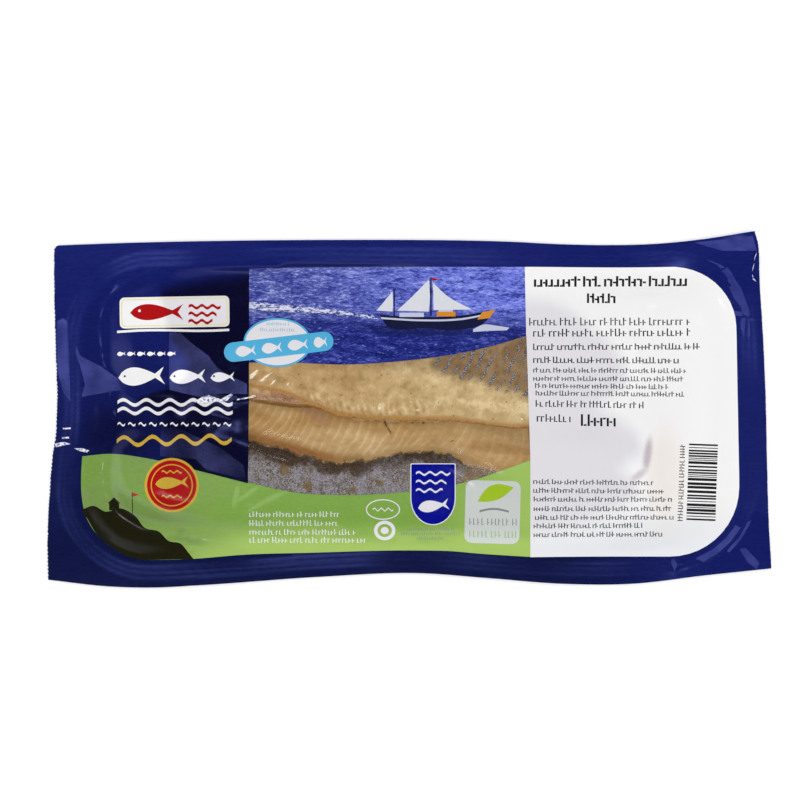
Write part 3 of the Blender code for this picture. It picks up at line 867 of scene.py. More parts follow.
@functools.cache
def film_mesh(printed):
    """Plan points and triangles of a film, split along each edge of its print if it is printed."""
    points, edges = [film_border()], []
    first = len(points[0])
    outlines = [outline for _, outline in print_shapes()] + FACETS + PAINTED_GLINTS if printed else []
    for outline in outlines:
        loop = split_long(np.array(outline), FILM_SPACING)
        points.append(np.stack(film_point(*loop.T), axis=1))
        edges += [(first + i, first + (i + 1) % len(loop)) for i in range(len(loop))]
        first += len(loop)
    fixed = np.concatenate(points)
    points = np.concatenate([fixed, film_field(fixed)])
    made = delaunay_2d_cdt([tuple(point) for point in points], edges, [], 0, MERGE_WITHIN, False)
    x, y = cut_ends(*np.array(made[0]).T)
    triangles = np.array(made[2])
    corners = np.stack([x, y], axis=1)[triangles]
    first_side, second_side = corners[:, 1] - corners[:, 0], corners[:, 2] - corners[:, 0]
    turn = first_side[:, 0] * second_side[:, 1] - first_side[:, 1] * second_side[:, 0]
    triangles[turn < 0] = triangles[turn < 0][:, ::-1]
    return x, y, triangles[np.abs(turn) > TINY]


def inks_of(x, y, triangles):
    """The ink that each triangle of the printed film carries."""
    centre_x, centre_y = x[triangles].mean(axis=1), y[triangles].mean(axis=1)
    inks = np.full(len(triangles), "navy", dtype="<U16")
    for ink, outline in print_shapes():
        low, high = outline.min(axis=0), outline.max(axis=0)
        near = (centre_x > low[0]) & (centre_x < high[0]) & (centre_y > low[1]) & (centre_y < high[1])
        near = np.flatnonzero(near)
        inks[near[within(outline, centre_x[near], centre_y[near])]] = ink
    # Painted glints take the place of the ink below them.
    for outline in PAINTED_GLINTS:
        creased = within(outline, centre_x, centre_y)
        inks[creased] = np.where(inks[creased] == "clear", "creased_clear", "creased")
    return inks


def facing_of(x, y, triangles):
    """The way that each triangle's corners face where the crumpled film has a flat place."""
    centre_x, centre_y = x[triangles].mean(axis=1), y[triangles].mean(axis=1)
    turn, tilt = radians(SMALL_LAMP_TURN), radians(SMALL_LAMP_TILT / 2)
    bent = FACET_UNEVENNESS * (1 - 0.5 * smooth_step((x - 90) / 15))
    missed = FACET_MISS * smooth_step((60 - x) / 40) * (1 + 0.8 * smooth_step((-2 - y) / 4))
    facing = unit(np.stack([
        sin(tilt) * cos(turn) + missed + bent * value_noise(x, y, FACET_LUMPS, 75),
        sin(tilt) * sin(turn) + bent * value_noise(x, y, FACET_LUMPS, 76),
        np.full(len(x), cos(tilt)),
    ], axis=1))
    flat = np.any([within(outline, centre_x, centre_y) for outline in FACETS], axis=0)
    return np.where(flat[:, None, None], facing[triangles], np.nan)


def unit(vectors):
    """Vectors made 1 long."""
    return vectors / np.linalg.norm(vectors, axis=1)[:, None]


def corner_normals(x, y, slopes, triangles, walls, flat):
    """The way that each corner of a body faces: upper side, under side and then the wall."""
    facing = unit(np.stack([-slopes[0], -slopes[1], np.ones(len(x))], axis=1))
    upper = facing[triangles]
    if flat is not None:
        upper = np.where(np.isnan(flat), upper, flat)
    outward = np.stack([y[walls[:, 0]] - y[walls[:, 1]], x[walls[:, 1]] - x[walls[:, 0]]], axis=1)
    outward = -np.pad(unit(outward), ((0, 0), (0, 1)))
    under = -facing[triangles[:, ::-1]]
    return np.concatenate([upper.reshape(-1, 3), under.reshape(-1, 3), np.repeat(outward, 4, axis=0)])


def closed_body(name, plan, heights, triangles, inks, finishes, masks, slopes=None, flat=None):
    """A piece between two heights over the same plan, with a wall round its edge."""
    used, triangles = np.unique(triangles, return_inverse=True)
    triangles = triangles.reshape(-1, 3)
    x, y, top, bottom = (values[used] for values in (*plan, *heights))
    edges = np.concatenate([triangles[:, [0, 1]], triangles[:, [1, 2]], triangles[:, [2, 0]]])
    _, first, times = np.unique(np.sort(edges, axis=1), axis=0, return_index=True, return_counts=True)
    rim = first[times == 1]
    start, end = edges[rim].T
    walls = np.stack([end, start, start + len(used), end + len(used)], axis=1)
    points = np.concatenate([np.stack([x, y, top], axis=1), np.stack([x, y, bottom], axis=1)]) * MM
    faces = [*triangles.tolist(), *(triangles[:, ::-1] + len(used)).tolist(), *walls.tolist()]
    mesh = bpy.data.meshes.new(name)
    mesh.from_pydata(points.tolist(), [], faces)
    for finish in finishes.values():
        mesh.materials.append(finish)
    order = {ink: i for i, ink in enumerate(finishes)}
    numbers = [order[ink] for ink in (*inks, *inks, *np.tile(inks, 3)[rim])]
    mesh.polygons.foreach_set("material_index", numbers)
    mesh.shade_smooth()
    for mask, values in masks.items():
        attribute = mesh.attributes.new(mask, "FLOAT", "POINT")
        attribute.data.foreach_set("value", np.tile(values[used], 2).astype(np.float32))
    if slopes:
        own_slopes = [slope[used] for slope in slopes]
        normals = corner_normals(x, y, own_slopes, triangles, walls, flat)
        mesh.normals_split_custom_set(normals.tolist())
    mesh.update()
    piece = bpy.data.objects.new(name, mesh)
    bpy.context.scene.collection.objects.link(piece)
    return piece


def settle(piece, node):
    """Lets a piece ride with the pack, in place of a solid."""
    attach(piece, "root")
    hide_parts(node)


def srgb(*rgb):
    """A colour given as it is seen on a screen, 0 to 255, as light."""
    screen = [value / 255 for value in rgb]
    return tuple(((v + 0.055) / 1.055) ** 2.4 if v > 0.04 else v / 12.92 for v in screen)


def dimmed(light, share):
    """A colour made darker or lighter."""
    return tuple(share * value for value in light)


BLACK, WHITE = (0.0, 0.0, 0.0), (1.0, 1.0, 1.0)
BROWNER, PALER = (0.70, 0.63, 0.50), (1.24, 1.32, 1.48)


class Recipe:
    """The nodes of one material or sky, and the base colour that its coats have made so far."""

    def __init__(self, owner, base=None):
        owner.use_nodes = True
        self.owner = owner
        self.tree = owner.node_tree
        self.tree.nodes.clear()
        self.base = base

    def put(self, socket, value):
        """Gives a socket a value, a colour, the mask of that name or what another socket gives."""
        if isinstance(value, str):
            value = self.add("Attribute", attribute_name=value).outputs["Fac"]
        if isinstance(value, bpy.types.NodeSocket):
            self.tree.links.new(value, socket)
        elif socket.type == "RGBA":
            socket.default_value = (*value[:3], 1.0)
        else:
            socket.default_value = value

    def add(self, kind, inputs=None, **settings):
        """A node with these inputs."""
        node = self.tree.nodes.new("ShaderNode" + kind)
        for setting, value in settings.items():
            setattr(node, setting, value)
        for name, value in (inputs or {}).items():
            self.put(node.inputs[name], value)
        return node

    def math(self, operation, *values):
        return self.add("Math", dict(enumerate(values)), operation=operation).outputs[0]

    def times(self, first, second):
        return self.math("MULTIPLY", first, second)

    def place(self, stretch=1.0, turn=0.0):
        """The place on the piece, in metres, stretched along a direction in degrees."""
        where = self.add("TexCoord").outputs["Object"]
        inputs = {"Vector": where, "Scale": (stretch, 1, 1), "Rotation": (0, 0, radians(turn))}
        return self.add("Mapping", inputs, vector_type="TEXTURE").outputs[0]

    def axis(self, name):
        """The place along one axis, in metres."""
        return self.add("SeparateXYZ", {0: self.place()}).outputs[name]

    def noise(self, size, detail=3.0, stretch=1.0, turn=0.0, rough=0.55, distortion=0.0):
        """Cloudy unevenness from 0 to 1, in lumps of that size in mm, stretched along a direction."""
        inputs = {"Scale": 1 / (size * MM), "Detail": detail, "Roughness": rough, "Distortion": distortion,
                  "Vector": self.place(stretch, turn)}
        return self.add("TexNoise", inputs).outputs["Fac"]

    def rise(self, value, start, end, low=0.0, high=1.0):
        """A smooth rise from low to high while the value goes from start to end."""
        inputs = {"Value": value, "From Min": start, "From Max": end, "To Min": low, "To Max": high}
        return self.add("MapRange", inputs, interpolation_type="SMOOTHSTEP").outputs[0]

    def ragged(self, value, unevenness, reach, start, end, high=1.0):
        """A mask made ragged: it goes from 0 to high where the value, shifted by noise, passes."""
        shift = self.rise(unevenness, 0.2, 0.8, -reach, reach)
        return self.rise(self.math("ADD", value, shift), start, end, 0.0, high)

    def specks(self, spacing, size, share):
        """Scattered uneven dots of about that size in mm: 1 in each and 0 between."""
        inputs = {"Vector": self.place(), "Scale": 1 / (spacing * MM)}
        cells = self.add("TexVoronoi", inputs, voronoi_dimensions="2D")
        reach = size / spacing
        uneven = self.noise(0.9 * size, 2.0)
        uneven = self.math("MULTIPLY_ADD", uneven, 2.2 * reach, cells.outputs["Distance"])
        dot = self.rise(uneven, 2.15 * reach, 1.65 * reach)
        red = self.add("SeparateColor", {0: cells.outputs["Color"]}).outputs[0]
        return self.times(dot, self.math("LESS_THAN", red, share))

    def mix(self, share, first, second, blend="MIX"):
        """A mix of two colours."""
        inputs = {0: share, 6: first, 7: second}
        return self.add("Mix", inputs, data_type="RGBA", blend_type=blend).outputs[2]

    def mottle(self, light, field, reach):
        """A colour varied by a field from 0 to 1: browner where it is low, paler where it is high."""
        for end, tint in ((0.32, BROWNER), (0.68, PALER)):
            light = self.mix(self.rise(field, 0.50, end, 0.0, reach), light, tint, "MULTIPLY")
        return light

    def vary(self, field, reach):
        """Mottles the base."""
        self.base = self.mottle(self.base, field, reach)

    def coat(self, light, share):
        """Lays a colour over the base by that share."""
        self.base = self.mix(share, self.base, light)

    def smear(self, light, *mask):
        """Lays a colour over the base in a ragged mask."""
        self.coat(light, self.ragged(*mask))

    def bump(self, height, depth):
        """Fine relief of that depth in mm."""
        return self.add("Bump", {"Height": height, "Strength": 1.0, "Distance": depth * MM}).outputs[0]

    def finish(self, **inputs):
        """The material, with a Principled finish over the base and inputs in the shader's words."""
        named = {name.replace("_", " "): value for name, value in inputs.items()}
        shader = self.add("BsdfPrincipled", {"Base Color": self.base, **named})
        self.add("OutputMaterial", {"Surface": shader.outputs[0]})
        return self.owner


def new_recipe(name, base=None):
    """A new material to be made, which starts from a base colour."""
    return Recipe(bpy.data.materials.new(name), base)


def colour(name, description, *rgb):
    """A colour setting whose default is given as it is seen on a screen."""
    return FloatVectorProperty(
        name=name, description=description, subtype="COLOR", size=3, min=0, max=1, default=srgb(*rgb)
    )


def number(name, description, default, **limits):
    """A setting of one number."""
    return FloatProperty(name=name, description=description, default=default, **limits)


class HerringPrintSettings(bpy.types.PropertyGroup):
    """Inks of the printed film."""

    navy: colour("Navy", "Ground colour of both films, at the upper edge", 24, 33, 108)
    # Low navy is painted shade: the ground colour where less light falls, towards the lower edge.
    navy_low_shade: colour("Low navy", "Ground colour at the lower edge", 17, 24, 68)
    navy_on_fish: colour("Navy on fish", "Ground colour where fish lies against the film", 11, 11, 41)
    panel: colour("White", "White fields of the print", 247, 246, 246)
    panel_on_fish: colour("White on fish", "White fields where fish lies against the film", 224, 222, 227)
    # The next three colours are painted shade: towards the lower edge, warm on the bump beside the dent, and
    # grey along the dent.
    panel_low_shade: colour("Low white", "White fields at the lower edge", 236, 237, 240)
    panel_warm_shade: colour("Warm white", "Warmest part of the right white field", 243, 236, 230)
    panel_dent_shade: colour("Creased white", "White field along its dent", 200, 190, 196)
    meadow: colour("Green", "Green field below the window", 121, 160, 70)
    meadow_light: colour("Light green", "Green field along its lower edge", 168, 200, 104)
    meadow_dusk: colour("Dusky green", "Darkest part of the green field", 122, 151, 82)
    meadow_gleam: colour("Pale green", "Paler streaks of the green field", 190, 218, 150)
    cliff: colour("Cliff", "Dark cliffs on the green field", 30, 29, 12)
    sea: colour("Sea", "Sea near the window", 35, 45, 128)
    sea_far: colour("Far sea", "Sea at the upper edge", 90, 100, 184)
    sea_light: colour("Light sea", "Colour of the sea's ripples", 172, 182, 240)
    sea_dark: colour("Dark sea", "Colour of the sea's hollows", 20, 27, 84)
    sea_foam: colour("Foam", "Wake behind the boat", 226, 230, 242)
    foam: colour("Spray", "Spray at the bow and pale parts of the boat", 206, 212, 236)
    sail: colour("Sail", "Sails of the boat", 232, 234, 242)
    hull: colour("Hull", "Hull and masts of the boat", 22, 26, 62)
    orange: colour("Orange", "Cabin and bow of the boat", 226, 148, 44)
    badge_blue: colour("Badge blue", "Light blue of the badge", 88, 188, 232)
    mark_blue: colour("Mark blue", "Strong blue of the lower mark", 4, 14, 148)
    red: colour("Red", "Red of the plaque and the medallion", 176, 18, 22)
    gold: colour("Gold", "Gold of the rule and the medallion", 208, 172, 62)
    pale_yellow: colour("Pale yellow", "Line round the plaque", 240, 232, 168)
    label: colour("Label", "Ground of the label with the leaf", 214, 219, 216)
    leaf: colour("Leaf", "Bright green of the leaf", 170, 204, 44)
    pale_leaf: colour("Pale leaf green", "Pale strokes of the label", 150, 190, 120)
    grey: colour("Grey", "Grey rule and strokes", 138, 142, 146)
    type_black: colour("Type", "Black of the small print", 34, 32, 36)
    # The next three colours paint glints: light caught by the film's folds.
    glint_navy: colour("Creased ink", "Ink left in a sharp crease", 96, 102, 160)
    glint_white: colour("Crease", "Film whitened by a sharp crease", 240, 241, 246)
    glint_cloud: colour("Clouded film", "Clear film clouded by a crease", 246, 234, 208)
    gloss: number("Film roughness", "Roughness of the film's surface", 0.16, min=0, max=1)


class HerringFishSettings(bpy.types.PropertyGroup):
    """Colours of the fish."""

    tan: colour("Tan flesh", "Upper fillet towards its head", 194, 157, 106)
    tan_light: colour("Light tan", "Upper fillet towards its tail", 218, 190, 140)
    # This colour is a painted highlight on the upper fillet's crest.
    crest_highlight: colour("Crest", "Palest flesh on the upper fillet's crest", 236, 210, 158)
    # Edge brown is the flesh's deeper colour at its edge together with painted shade where the edge curves
    # down.
    edge_brown: colour("Edge brown", "Band along the upper fillet's edge", 178, 127, 64)
    seam_brown: colour("Seam brown", "Shaded seam below the upper fillet", 124, 82, 42)
    facet_pink: colour("Cut pink", "Fresh cut along the upper fillet", 172, 128, 98)
    cut: colour("Cut flesh", "Flesh of the middle fillet", 182, 141, 88)
    cut_light: colour("Light cut flesh", "Palest flesh of the middle fillet", 204, 170, 120)
    cut_orange: colour("Orange flesh", "Darker flesh along the ragged edge", 152, 103, 54)
    froth: colour("Froth", "Pale crumbs and froth along the edges", 226, 200, 150)
    skin: colour("Skin", "Mean colour of the silver skin", 136, 126, 118)
    skin_silver: colour("Silver", "Glints of the skin", 198, 194, 202)
    skin_grey: colour("Grey skin", "Broad pale patches of the skin", 158, 153, 164)
    skin_gold: colour("Gold skin", "Golden patches of the skin", 128, 104, 58)
    skin_tail: colour("Tail skin", "Lower fillet towards its tail", 196, 158, 104)
    skin_left: colour("Skin left on", "Skin left on the middle fillet", 126, 99, 70)
    scaled_brown: colour("Brown flesh", "Flesh between the silver streaks", 130, 97, 66)
    # Brown and dark skin also colour the painted shadow along the middle fillet's edge.
    skin_brown: colour("Brown skin", "Skin along the flesh", 92, 70, 48)
    skin_dark: colour("Dark skin", "Darkest skin and specks", 52, 38, 27)
    moisture: number("Fish roughness", "Roughness of the moist fish", 0.42, min=0, max=1)


class HerringStudioSettings(bpy.types.PropertyGroup):
    """Camera, floor and light."""

    floor: colour("Floor", "Colour of the floor", 250, 250, 250)
    view_x: number("View centre X", "Middle of the picture", -0.003375, unit="LENGTH")
    view_y: number("View centre Y", "Middle of the picture", 0.0035, unit="LENGTH")
    view_width: number("View width", "Width of the picture", 0.3008, unit="LENGTH")
    distance: number("Camera height", "Height of the camera", 3.0, unit="LENGTH")
    side_light: number("Side light", "Strength of the light from low down", 1.3, min=0)
    sky_light: number("Sky light", "Strength of the sky overhead", 0.05, min=0)
    top_light: number("Top light", "Strength of the soft light from above", 2.55, min=0)
    small_light: number("Small light", "Strength of the light that the film mirrors", 0.085, min=0)
    tent_angle: number("Tent angle", "Tilt at which the tent's light begins", radians(66), subtype="ANGLE")


# Film: the tint of its gloss over pale and over blue inks, how the clear film colours and mirrors,
# the inks that are one plain colour, and their small unevenness
PLAIN_TINT = (0.82, 0.86, 1.0)
BLUE_TINT = (0.30, 0.34, 1.0)
CLEAR_TINT = (0.97, 0.975, 0.98)
CLEAR_GLOSS = 0.3
# Pale blue of the painted sheen along the seal's embossed lines
EMBOSS_SHEEN_BLUE = (0.09, 0.12, 0.50)
PLAIN_INKS = (
    "cliff", "foam", "sail", "hull", "gold", "orange", "red", "pale_yellow", "badge_blue", "mark_blue",
    "label", "leaf", "pale_leaf", "grey", "type_black",
)
INK_ON_FISH = 0.86
# Roughness of the painted glints
GLINT_ROUGHNESS = 0.4

# Fish: how far red, green and blue light goes into the flesh, and the size of the skin's scales
LIGHT_REACH = (1.2 * MM, 0.6 * MM, 0.3 * MM)
SKIN_CELL = 6


def film_finish(recipe, settings, tint=PLAIN_TINT):
    """Glossy film over an ink, faintly uneven."""
    roughness = recipe.rise(recipe.noise(7.0), 0.3, 0.7, settings.gloss - 0.03, settings.gloss + 0.05)
    fine = recipe.bump(recipe.noise(0.5, 2.0), 0.010)
    return recipe.finish(Roughness=roughness, Normal=fine, IOR=1.5, Specular_Tint=tint)


def plain_ink(name, settings):
    """A flat ink with a slight unevenness, darker where fish lies against the film."""
    ink = tuple(getattr(settings, name))
    recipe = new_recipe("ink_" + name, ink)
    recipe.coat(dimmed(ink, INK_ON_FISH), "over_fish")
    recipe.coat(BLACK, recipe.rise(recipe.noise(2.4), 0.25, 0.75, 0.0, 0.03))
    return film_finish(recipe, settings)


def panel_ink(settings):
    """White fields: greyer on the fish, with painted shade towards the lower edge, and painted shade on the
    bump beside the dent, warm, and along the dent, grey.
    """
    recipe = new_recipe("ink_panel", settings.panel)
    # Painted shade towards the lower edge.
    recipe.coat(settings.panel_low_shade, recipe.rise(recipe.axis("Y"), -0.028, -0.052))
    recipe.coat(settings.panel_on_fish, "over_fish")
    # Painted shade, warm on the bump beside the dent and grey along the dent.
    recipe.coat(settings.panel_warm_shade, "warm")
    recipe.coat(settings.panel_dent_shade, "crease")
    return film_finish(recipe, settings)


def navy_ink(settings):
    """The ground colour: painted shade deepens it towards the lower edge, it is nearly black on the fish, and
    painted sheen lightens it along the seal's embossed lines.
    """
    recipe = new_recipe("ink_navy", settings.navy_low_shade)
    # Painted shade: the ground goes darker towards the lower edge, less so at the right.
    upward = recipe.rise(recipe.axis("Y"), -0.062, 0.062)
    rightward = recipe.rise(recipe.axis("X"), 0.05, 0.12, 0.0, 0.85)
    recipe.coat(settings.navy, recipe.math("MAXIMUM", upward, rightward))
    recipe.coat(settings.navy_on_fish, "over_fish")
    # Painted sheen along the seal's embossed lines.
    recipe.coat(EMBOSS_SHEEN_BLUE, recipe.times("bands", 0.28))
    recipe.coat(BLACK, recipe.rise(recipe.noise(0.6, stretch=5.0), 0.3, 0.7, 0.0, 0.24))
    return film_finish(recipe, settings, BLUE_TINT)


def sea_ink(settings):
    """Open sea seen from above: streaks of light on ripples, paler towards the top."""
    recipe = new_recipe("ink_sea", settings.sea)
    swell = recipe.noise(2.4, 4.0, stretch=3.6, rough=0.6, distortion=0.4)
    ripple = recipe.noise(0.6, 4.0, stretch=3.0, rough=0.7, distortion=0.5)
    level = recipe.math("MULTIPLY_ADD", ripple, 0.60, recipe.times(swell, 0.40))
    far = recipe.rise(recipe.axis("Y"), 0.029, 0.040)
    rightward = recipe.rise(recipe.axis("X"), -0.055, 0.035)
    recipe.coat(recipe.mix(rightward, dimmed(settings.sea_far, 0.76), dimmed(settings.sea_far, 1.55)), far)
    hollow = recipe.mix(far, settings.sea_dark, settings.sea)
    recipe.coat(hollow, recipe.rise(level, 0.50, 0.42, 0.0, 0.85))
    crest = recipe.mix(far, settings.sea_far, settings.sea_light)
    recipe.coat(crest, recipe.rise(level, 0.51, 0.62, 0.0, 0.75))
    recipe.coat(settings.sea_light, recipe.rise(ripple, 0.64, 0.70, 0.0, 0.8))
    recipe.smear(settings.sea_foam, "wake", ripple, 0.80, 0.62, 1.15, 0.90)
    recipe.coat(settings.sea_dark, recipe.rise("hull_shade", 0.0, 1.0, 0.0, 0.75))
    return film_finish(recipe, settings, BLUE_TINT)


def meadow_ink(settings):
    """Green field: dusky and cloudy at the left, pale along its lower edge."""
    recipe = new_recipe("ink_meadow", settings.meadow)
    along, clouds = recipe.axis("X"), recipe.noise(11.0, 4.0, stretch=2.4, distortion=0.6)
    downward = recipe.rise(recipe.math("MULTIPLY_ADD", clouds, 0.012, recipe.axis("Y")), -0.034, -0.046)
    rightward = recipe.rise(along, 0.0, 0.045, 0.0, 0.7)
    recipe.coat(settings.meadow_light, recipe.math("MAXIMUM", downward, rightward))
    leftward, cloudy = recipe.rise(along, -0.056, -0.084), recipe.rise(clouds, 0.62, 0.36, 0.25, 1.0)
    recipe.coat(settings.meadow_dusk, recipe.times(leftward, cloudy))
    recipe.coat(settings.meadow_light, recipe.rise(recipe.noise(0.8, stretch=2.0), 0.3, 0.7, 0.0, 0.10))
    recipe.smear(settings.meadow_gleam, "gleam", clouds, 0.05, 0.06, 1.0, 0.20)
    return film_finish(recipe, settings)


def clear_film():
    """Clear film: only its gloss shows."""
    recipe = new_recipe("clear_film")
    clear = recipe.add("BsdfTransparent", {"Color": CLEAR_TINT})
    normal = recipe.bump(recipe.noise(1.6), 0.03)
    gloss = recipe.add("BsdfGlossy", {"Color": WHITE, "Roughness": 0.09, "Normal": normal})
    mirrored = recipe.add("Fresnel", {"IOR": 1.5, "Normal": normal}).outputs[0]
    outer = recipe.math("SUBTRACT", 1.0, recipe.add("NewGeometry").outputs["Backfacing"])
    share = recipe.times(recipe.times(mirrored, outer), CLEAR_GLOSS)
    mixed = recipe.add("MixShader", {0: share, 1: clear.outputs[0], 2: gloss.outputs[0]})
    recipe.add("OutputMaterial", {"Surface": mixed.outputs[0]})
    return recipe.owner


def creased_film(settings):
    """Painted glints on the printed film: pale flecks standing in for light caught by its folds."""
    recipe = new_recipe("creased_film", settings.glint_navy)
    recipe.coat(settings.glint_white, recipe.rise(recipe.noise(0.9, 4.0), 0.34, 0.56))
    return recipe.finish(Roughness=GLINT_ROUGHNESS)


def creased_clear(settings):
    """Painted glints on the clear film: pale, partly see-through flecks standing in for light caught by its
    folds.
    """
    recipe = new_recipe("creased_clear", settings.glint_cloud)
    cloudy = recipe.rise(recipe.noise(0.9, 4.0), 0.30, 0.60, 0.35, 0.95)
    return recipe.finish(Roughness=GLINT_ROUGHNESS, Alpha=cloudy)


def film_inks(settings):
    """Every ink of the print."""
    inks = {
        "navy": navy_ink(settings),
        "sea": sea_ink(settings),
        "meadow": meadow_ink(settings),
        "panel": panel_ink(settings),
        "clear": clear_film(),
        "creased": creased_film(settings),
        "creased_clear": creased_clear(settings),
    }
    return inks | {name: plain_ink(name, settings) for name in PLAIN_INKS}


def flesh_finish(recipe, roughness, relief, depth):
    """Moist flesh that lets a little light in."""
    return recipe.finish(
        Roughness=roughness, Normal=recipe.bump(relief, depth), IOR=1.4,
        Subsurface_Weight=0.10, Subsurface_Radius=LIGHT_REACH, Subsurface_Scale=1.0,
    )


def tan_flesh(s):
    """Skinned side of the upper fillet: tan, with brown specks and silver streaks, a painted highlight on its
    crest, a brown edge that is partly painted shade, and painted shade in the seam.
    """
    recipe = new_recipe("tan_flesh", s.tan)
    cloud, grain, fine = recipe.noise(3.2, 5.0), recipe.noise(0.6, 3.0, 1.8, 75), recipe.noise(0.38, 2.0)
    recipe.coat(s.tan_light, "lightness")
    recipe.vary(recipe.noise(9.0, 5.0, 1.5), 0.60)
    recipe.vary(cloud, 0.28)
    recipe.vary(grain, 0.14)
    # Painted highlight on the crest and its teeth, and painted shade just below it.
    crest = recipe.math("ADD", "crest", recipe.rise(cloud, 0.2, 0.8, -0.12, 0.12))
    recipe.vary(crest, 0.85)
    recipe.coat(s.crest_highlight, recipe.rise(crest, 0.60, 0.74, 0.0, 0.6))
    recipe.coat(recipe.mottle(s.scaled_brown, cloud, 1.0), recipe.times("brown", 0.9))
    speckled = recipe.rise(recipe.noise(9.0), 0.42, 0.62, 0.25, 0.85)
    recipe.coat(s.skin_brown, recipe.times(recipe.specks(1.7, 0.20, 0.30), speckled))
    recipe.coat(s.skin_brown, recipe.times(recipe.specks(5.2, 0.34, 0.24), 0.85))
    clump = recipe.ragged("streak", recipe.noise(1.3, 4.0, 2.2, STREAK_TURN), 0.75, 0.15, 0.90)
    clumped = recipe.times(clump, recipe.rise("streak", 0.05, 0.30))
    recipe.coat(dimmed(s.skin, 0.36), recipe.times(clumped, 0.88))
    recipe.coat(s.skin_silver, recipe.times(recipe.rise(fine, 0.51, 0.60, 0.0, 0.9), clumped))
    # The edge's own deeper brown, with painted shade where it curves down to the seam.
    recipe.smear(recipe.mottle(s.edge_brown, grain, 0.5), "band", cloud, 0.20, 0.05, 0.95, 0.85)
    # Painted highlight on the left block of the fresh cut.
    pink = recipe.mottle(recipe.mix("facet_light", s.facet_pink, s.froth), grain, 0.5)
    recipe.smear(recipe.mottle(pink, cloud, 1.2), "facet", grain, 0.20, 0.30, 0.70, 0.9)
    # Painted shade in the seam below the upper fillet.
    recipe.smear(s.seam_brown, "seam", cloud, 0.35, 0.36, 0.95, 0.80)
    return flesh_finish(recipe, s.moisture, cloud, 0.12)


def cut_flesh(s):
    """Cut side of the middle fillet: pale curved lines between the muscles, orange at the edge."""
    recipe = new_recipe("cut_flesh", s.cut)
    broad, cloud = recipe.noise(7.0, 4.0, 1.6), recipe.noise(1.8, 5.0)
    fibre, fine = recipe.noise(0.5, 3.0, 4.0, 60), recipe.noise(0.40, 2.0)
    recipe.coat(s.cut_light, "pale")
    recipe.vary(broad, 0.40)
    recipe.vary(cloud, 0.22)
    recipe.vary(fibre, 0.14)
    wander = recipe.rise(recipe.noise(14.0, 2.0), 0.2, 0.8, -0.35, 0.35)
    phase = recipe.math("FRACT", recipe.math("ADD", "muscle", wander))
    line = recipe.times(recipe.rise(phase, 0.0, 0.14), recipe.rise(phase, 0.75, 0.16))
    strength = recipe.times("lined", recipe.rise(broad, 0.30, 0.65, 0.55, 1.0))
    recipe.vary(recipe.rise(recipe.times(line, strength), 0.0, 1.0, 0.45, 0.66), 0.60)
    orange = recipe.mottle(recipe.mottle(s.cut_orange, cloud, 0.6), fine, 0.4)
    recipe.smear(orange, "orange", cloud, 0.25, 0.05, 1.0, 0.9)
    recipe.smear(s.facet_pink, "smear", fibre, 0.25, 0.2, 0.9, 0.55)
    # Painted shade on the middle fillet just below the upper fillet's edge.
    recipe.smear(dimmed(s.edge_brown, 0.55), "dusk", cloud, 0.25, 0.26, 1.0, 0.85)
    recipe.smear(recipe.mottle(s.skin_left, fine, 0.8), "skin_left", cloud, 0.35, 0.36, 0.95, 0.75)
    on_skin = recipe.rise("skin_left", 0.10, 0.7, 0.0, 0.8)
    recipe.coat(s.skin_silver, recipe.times(recipe.rise(fine, 0.52, 0.60), on_skin))
    recipe.smear(s.skin_brown, "rim", cloud, 0.45, 0.55, 1.05, 0.80)
    recipe.smear(s.froth, "rim", recipe.noise(1.3, 4.0), 0.70, 0.90, 1.35, 0.50)
    recipe.smear(s.skin_dark, "rim", recipe.noise(1.7, 4.0, 1.3, 90), 0.70, 1.05, 1.45, 0.65)
    recipe.smear(s.skin_brown, "rim", fine, 0.20, 0.88, 1.02, 0.85)
    recipe.smear(s.froth, "froth", recipe.noise(1.2, 4.0, 2.0), 0.60, 0.70, 1.10, 0.40)
    recipe.coat(s.skin_dark, recipe.times("marks", 0.9))
    return flesh_finish(recipe, s.moisture, fibre, 0.05)


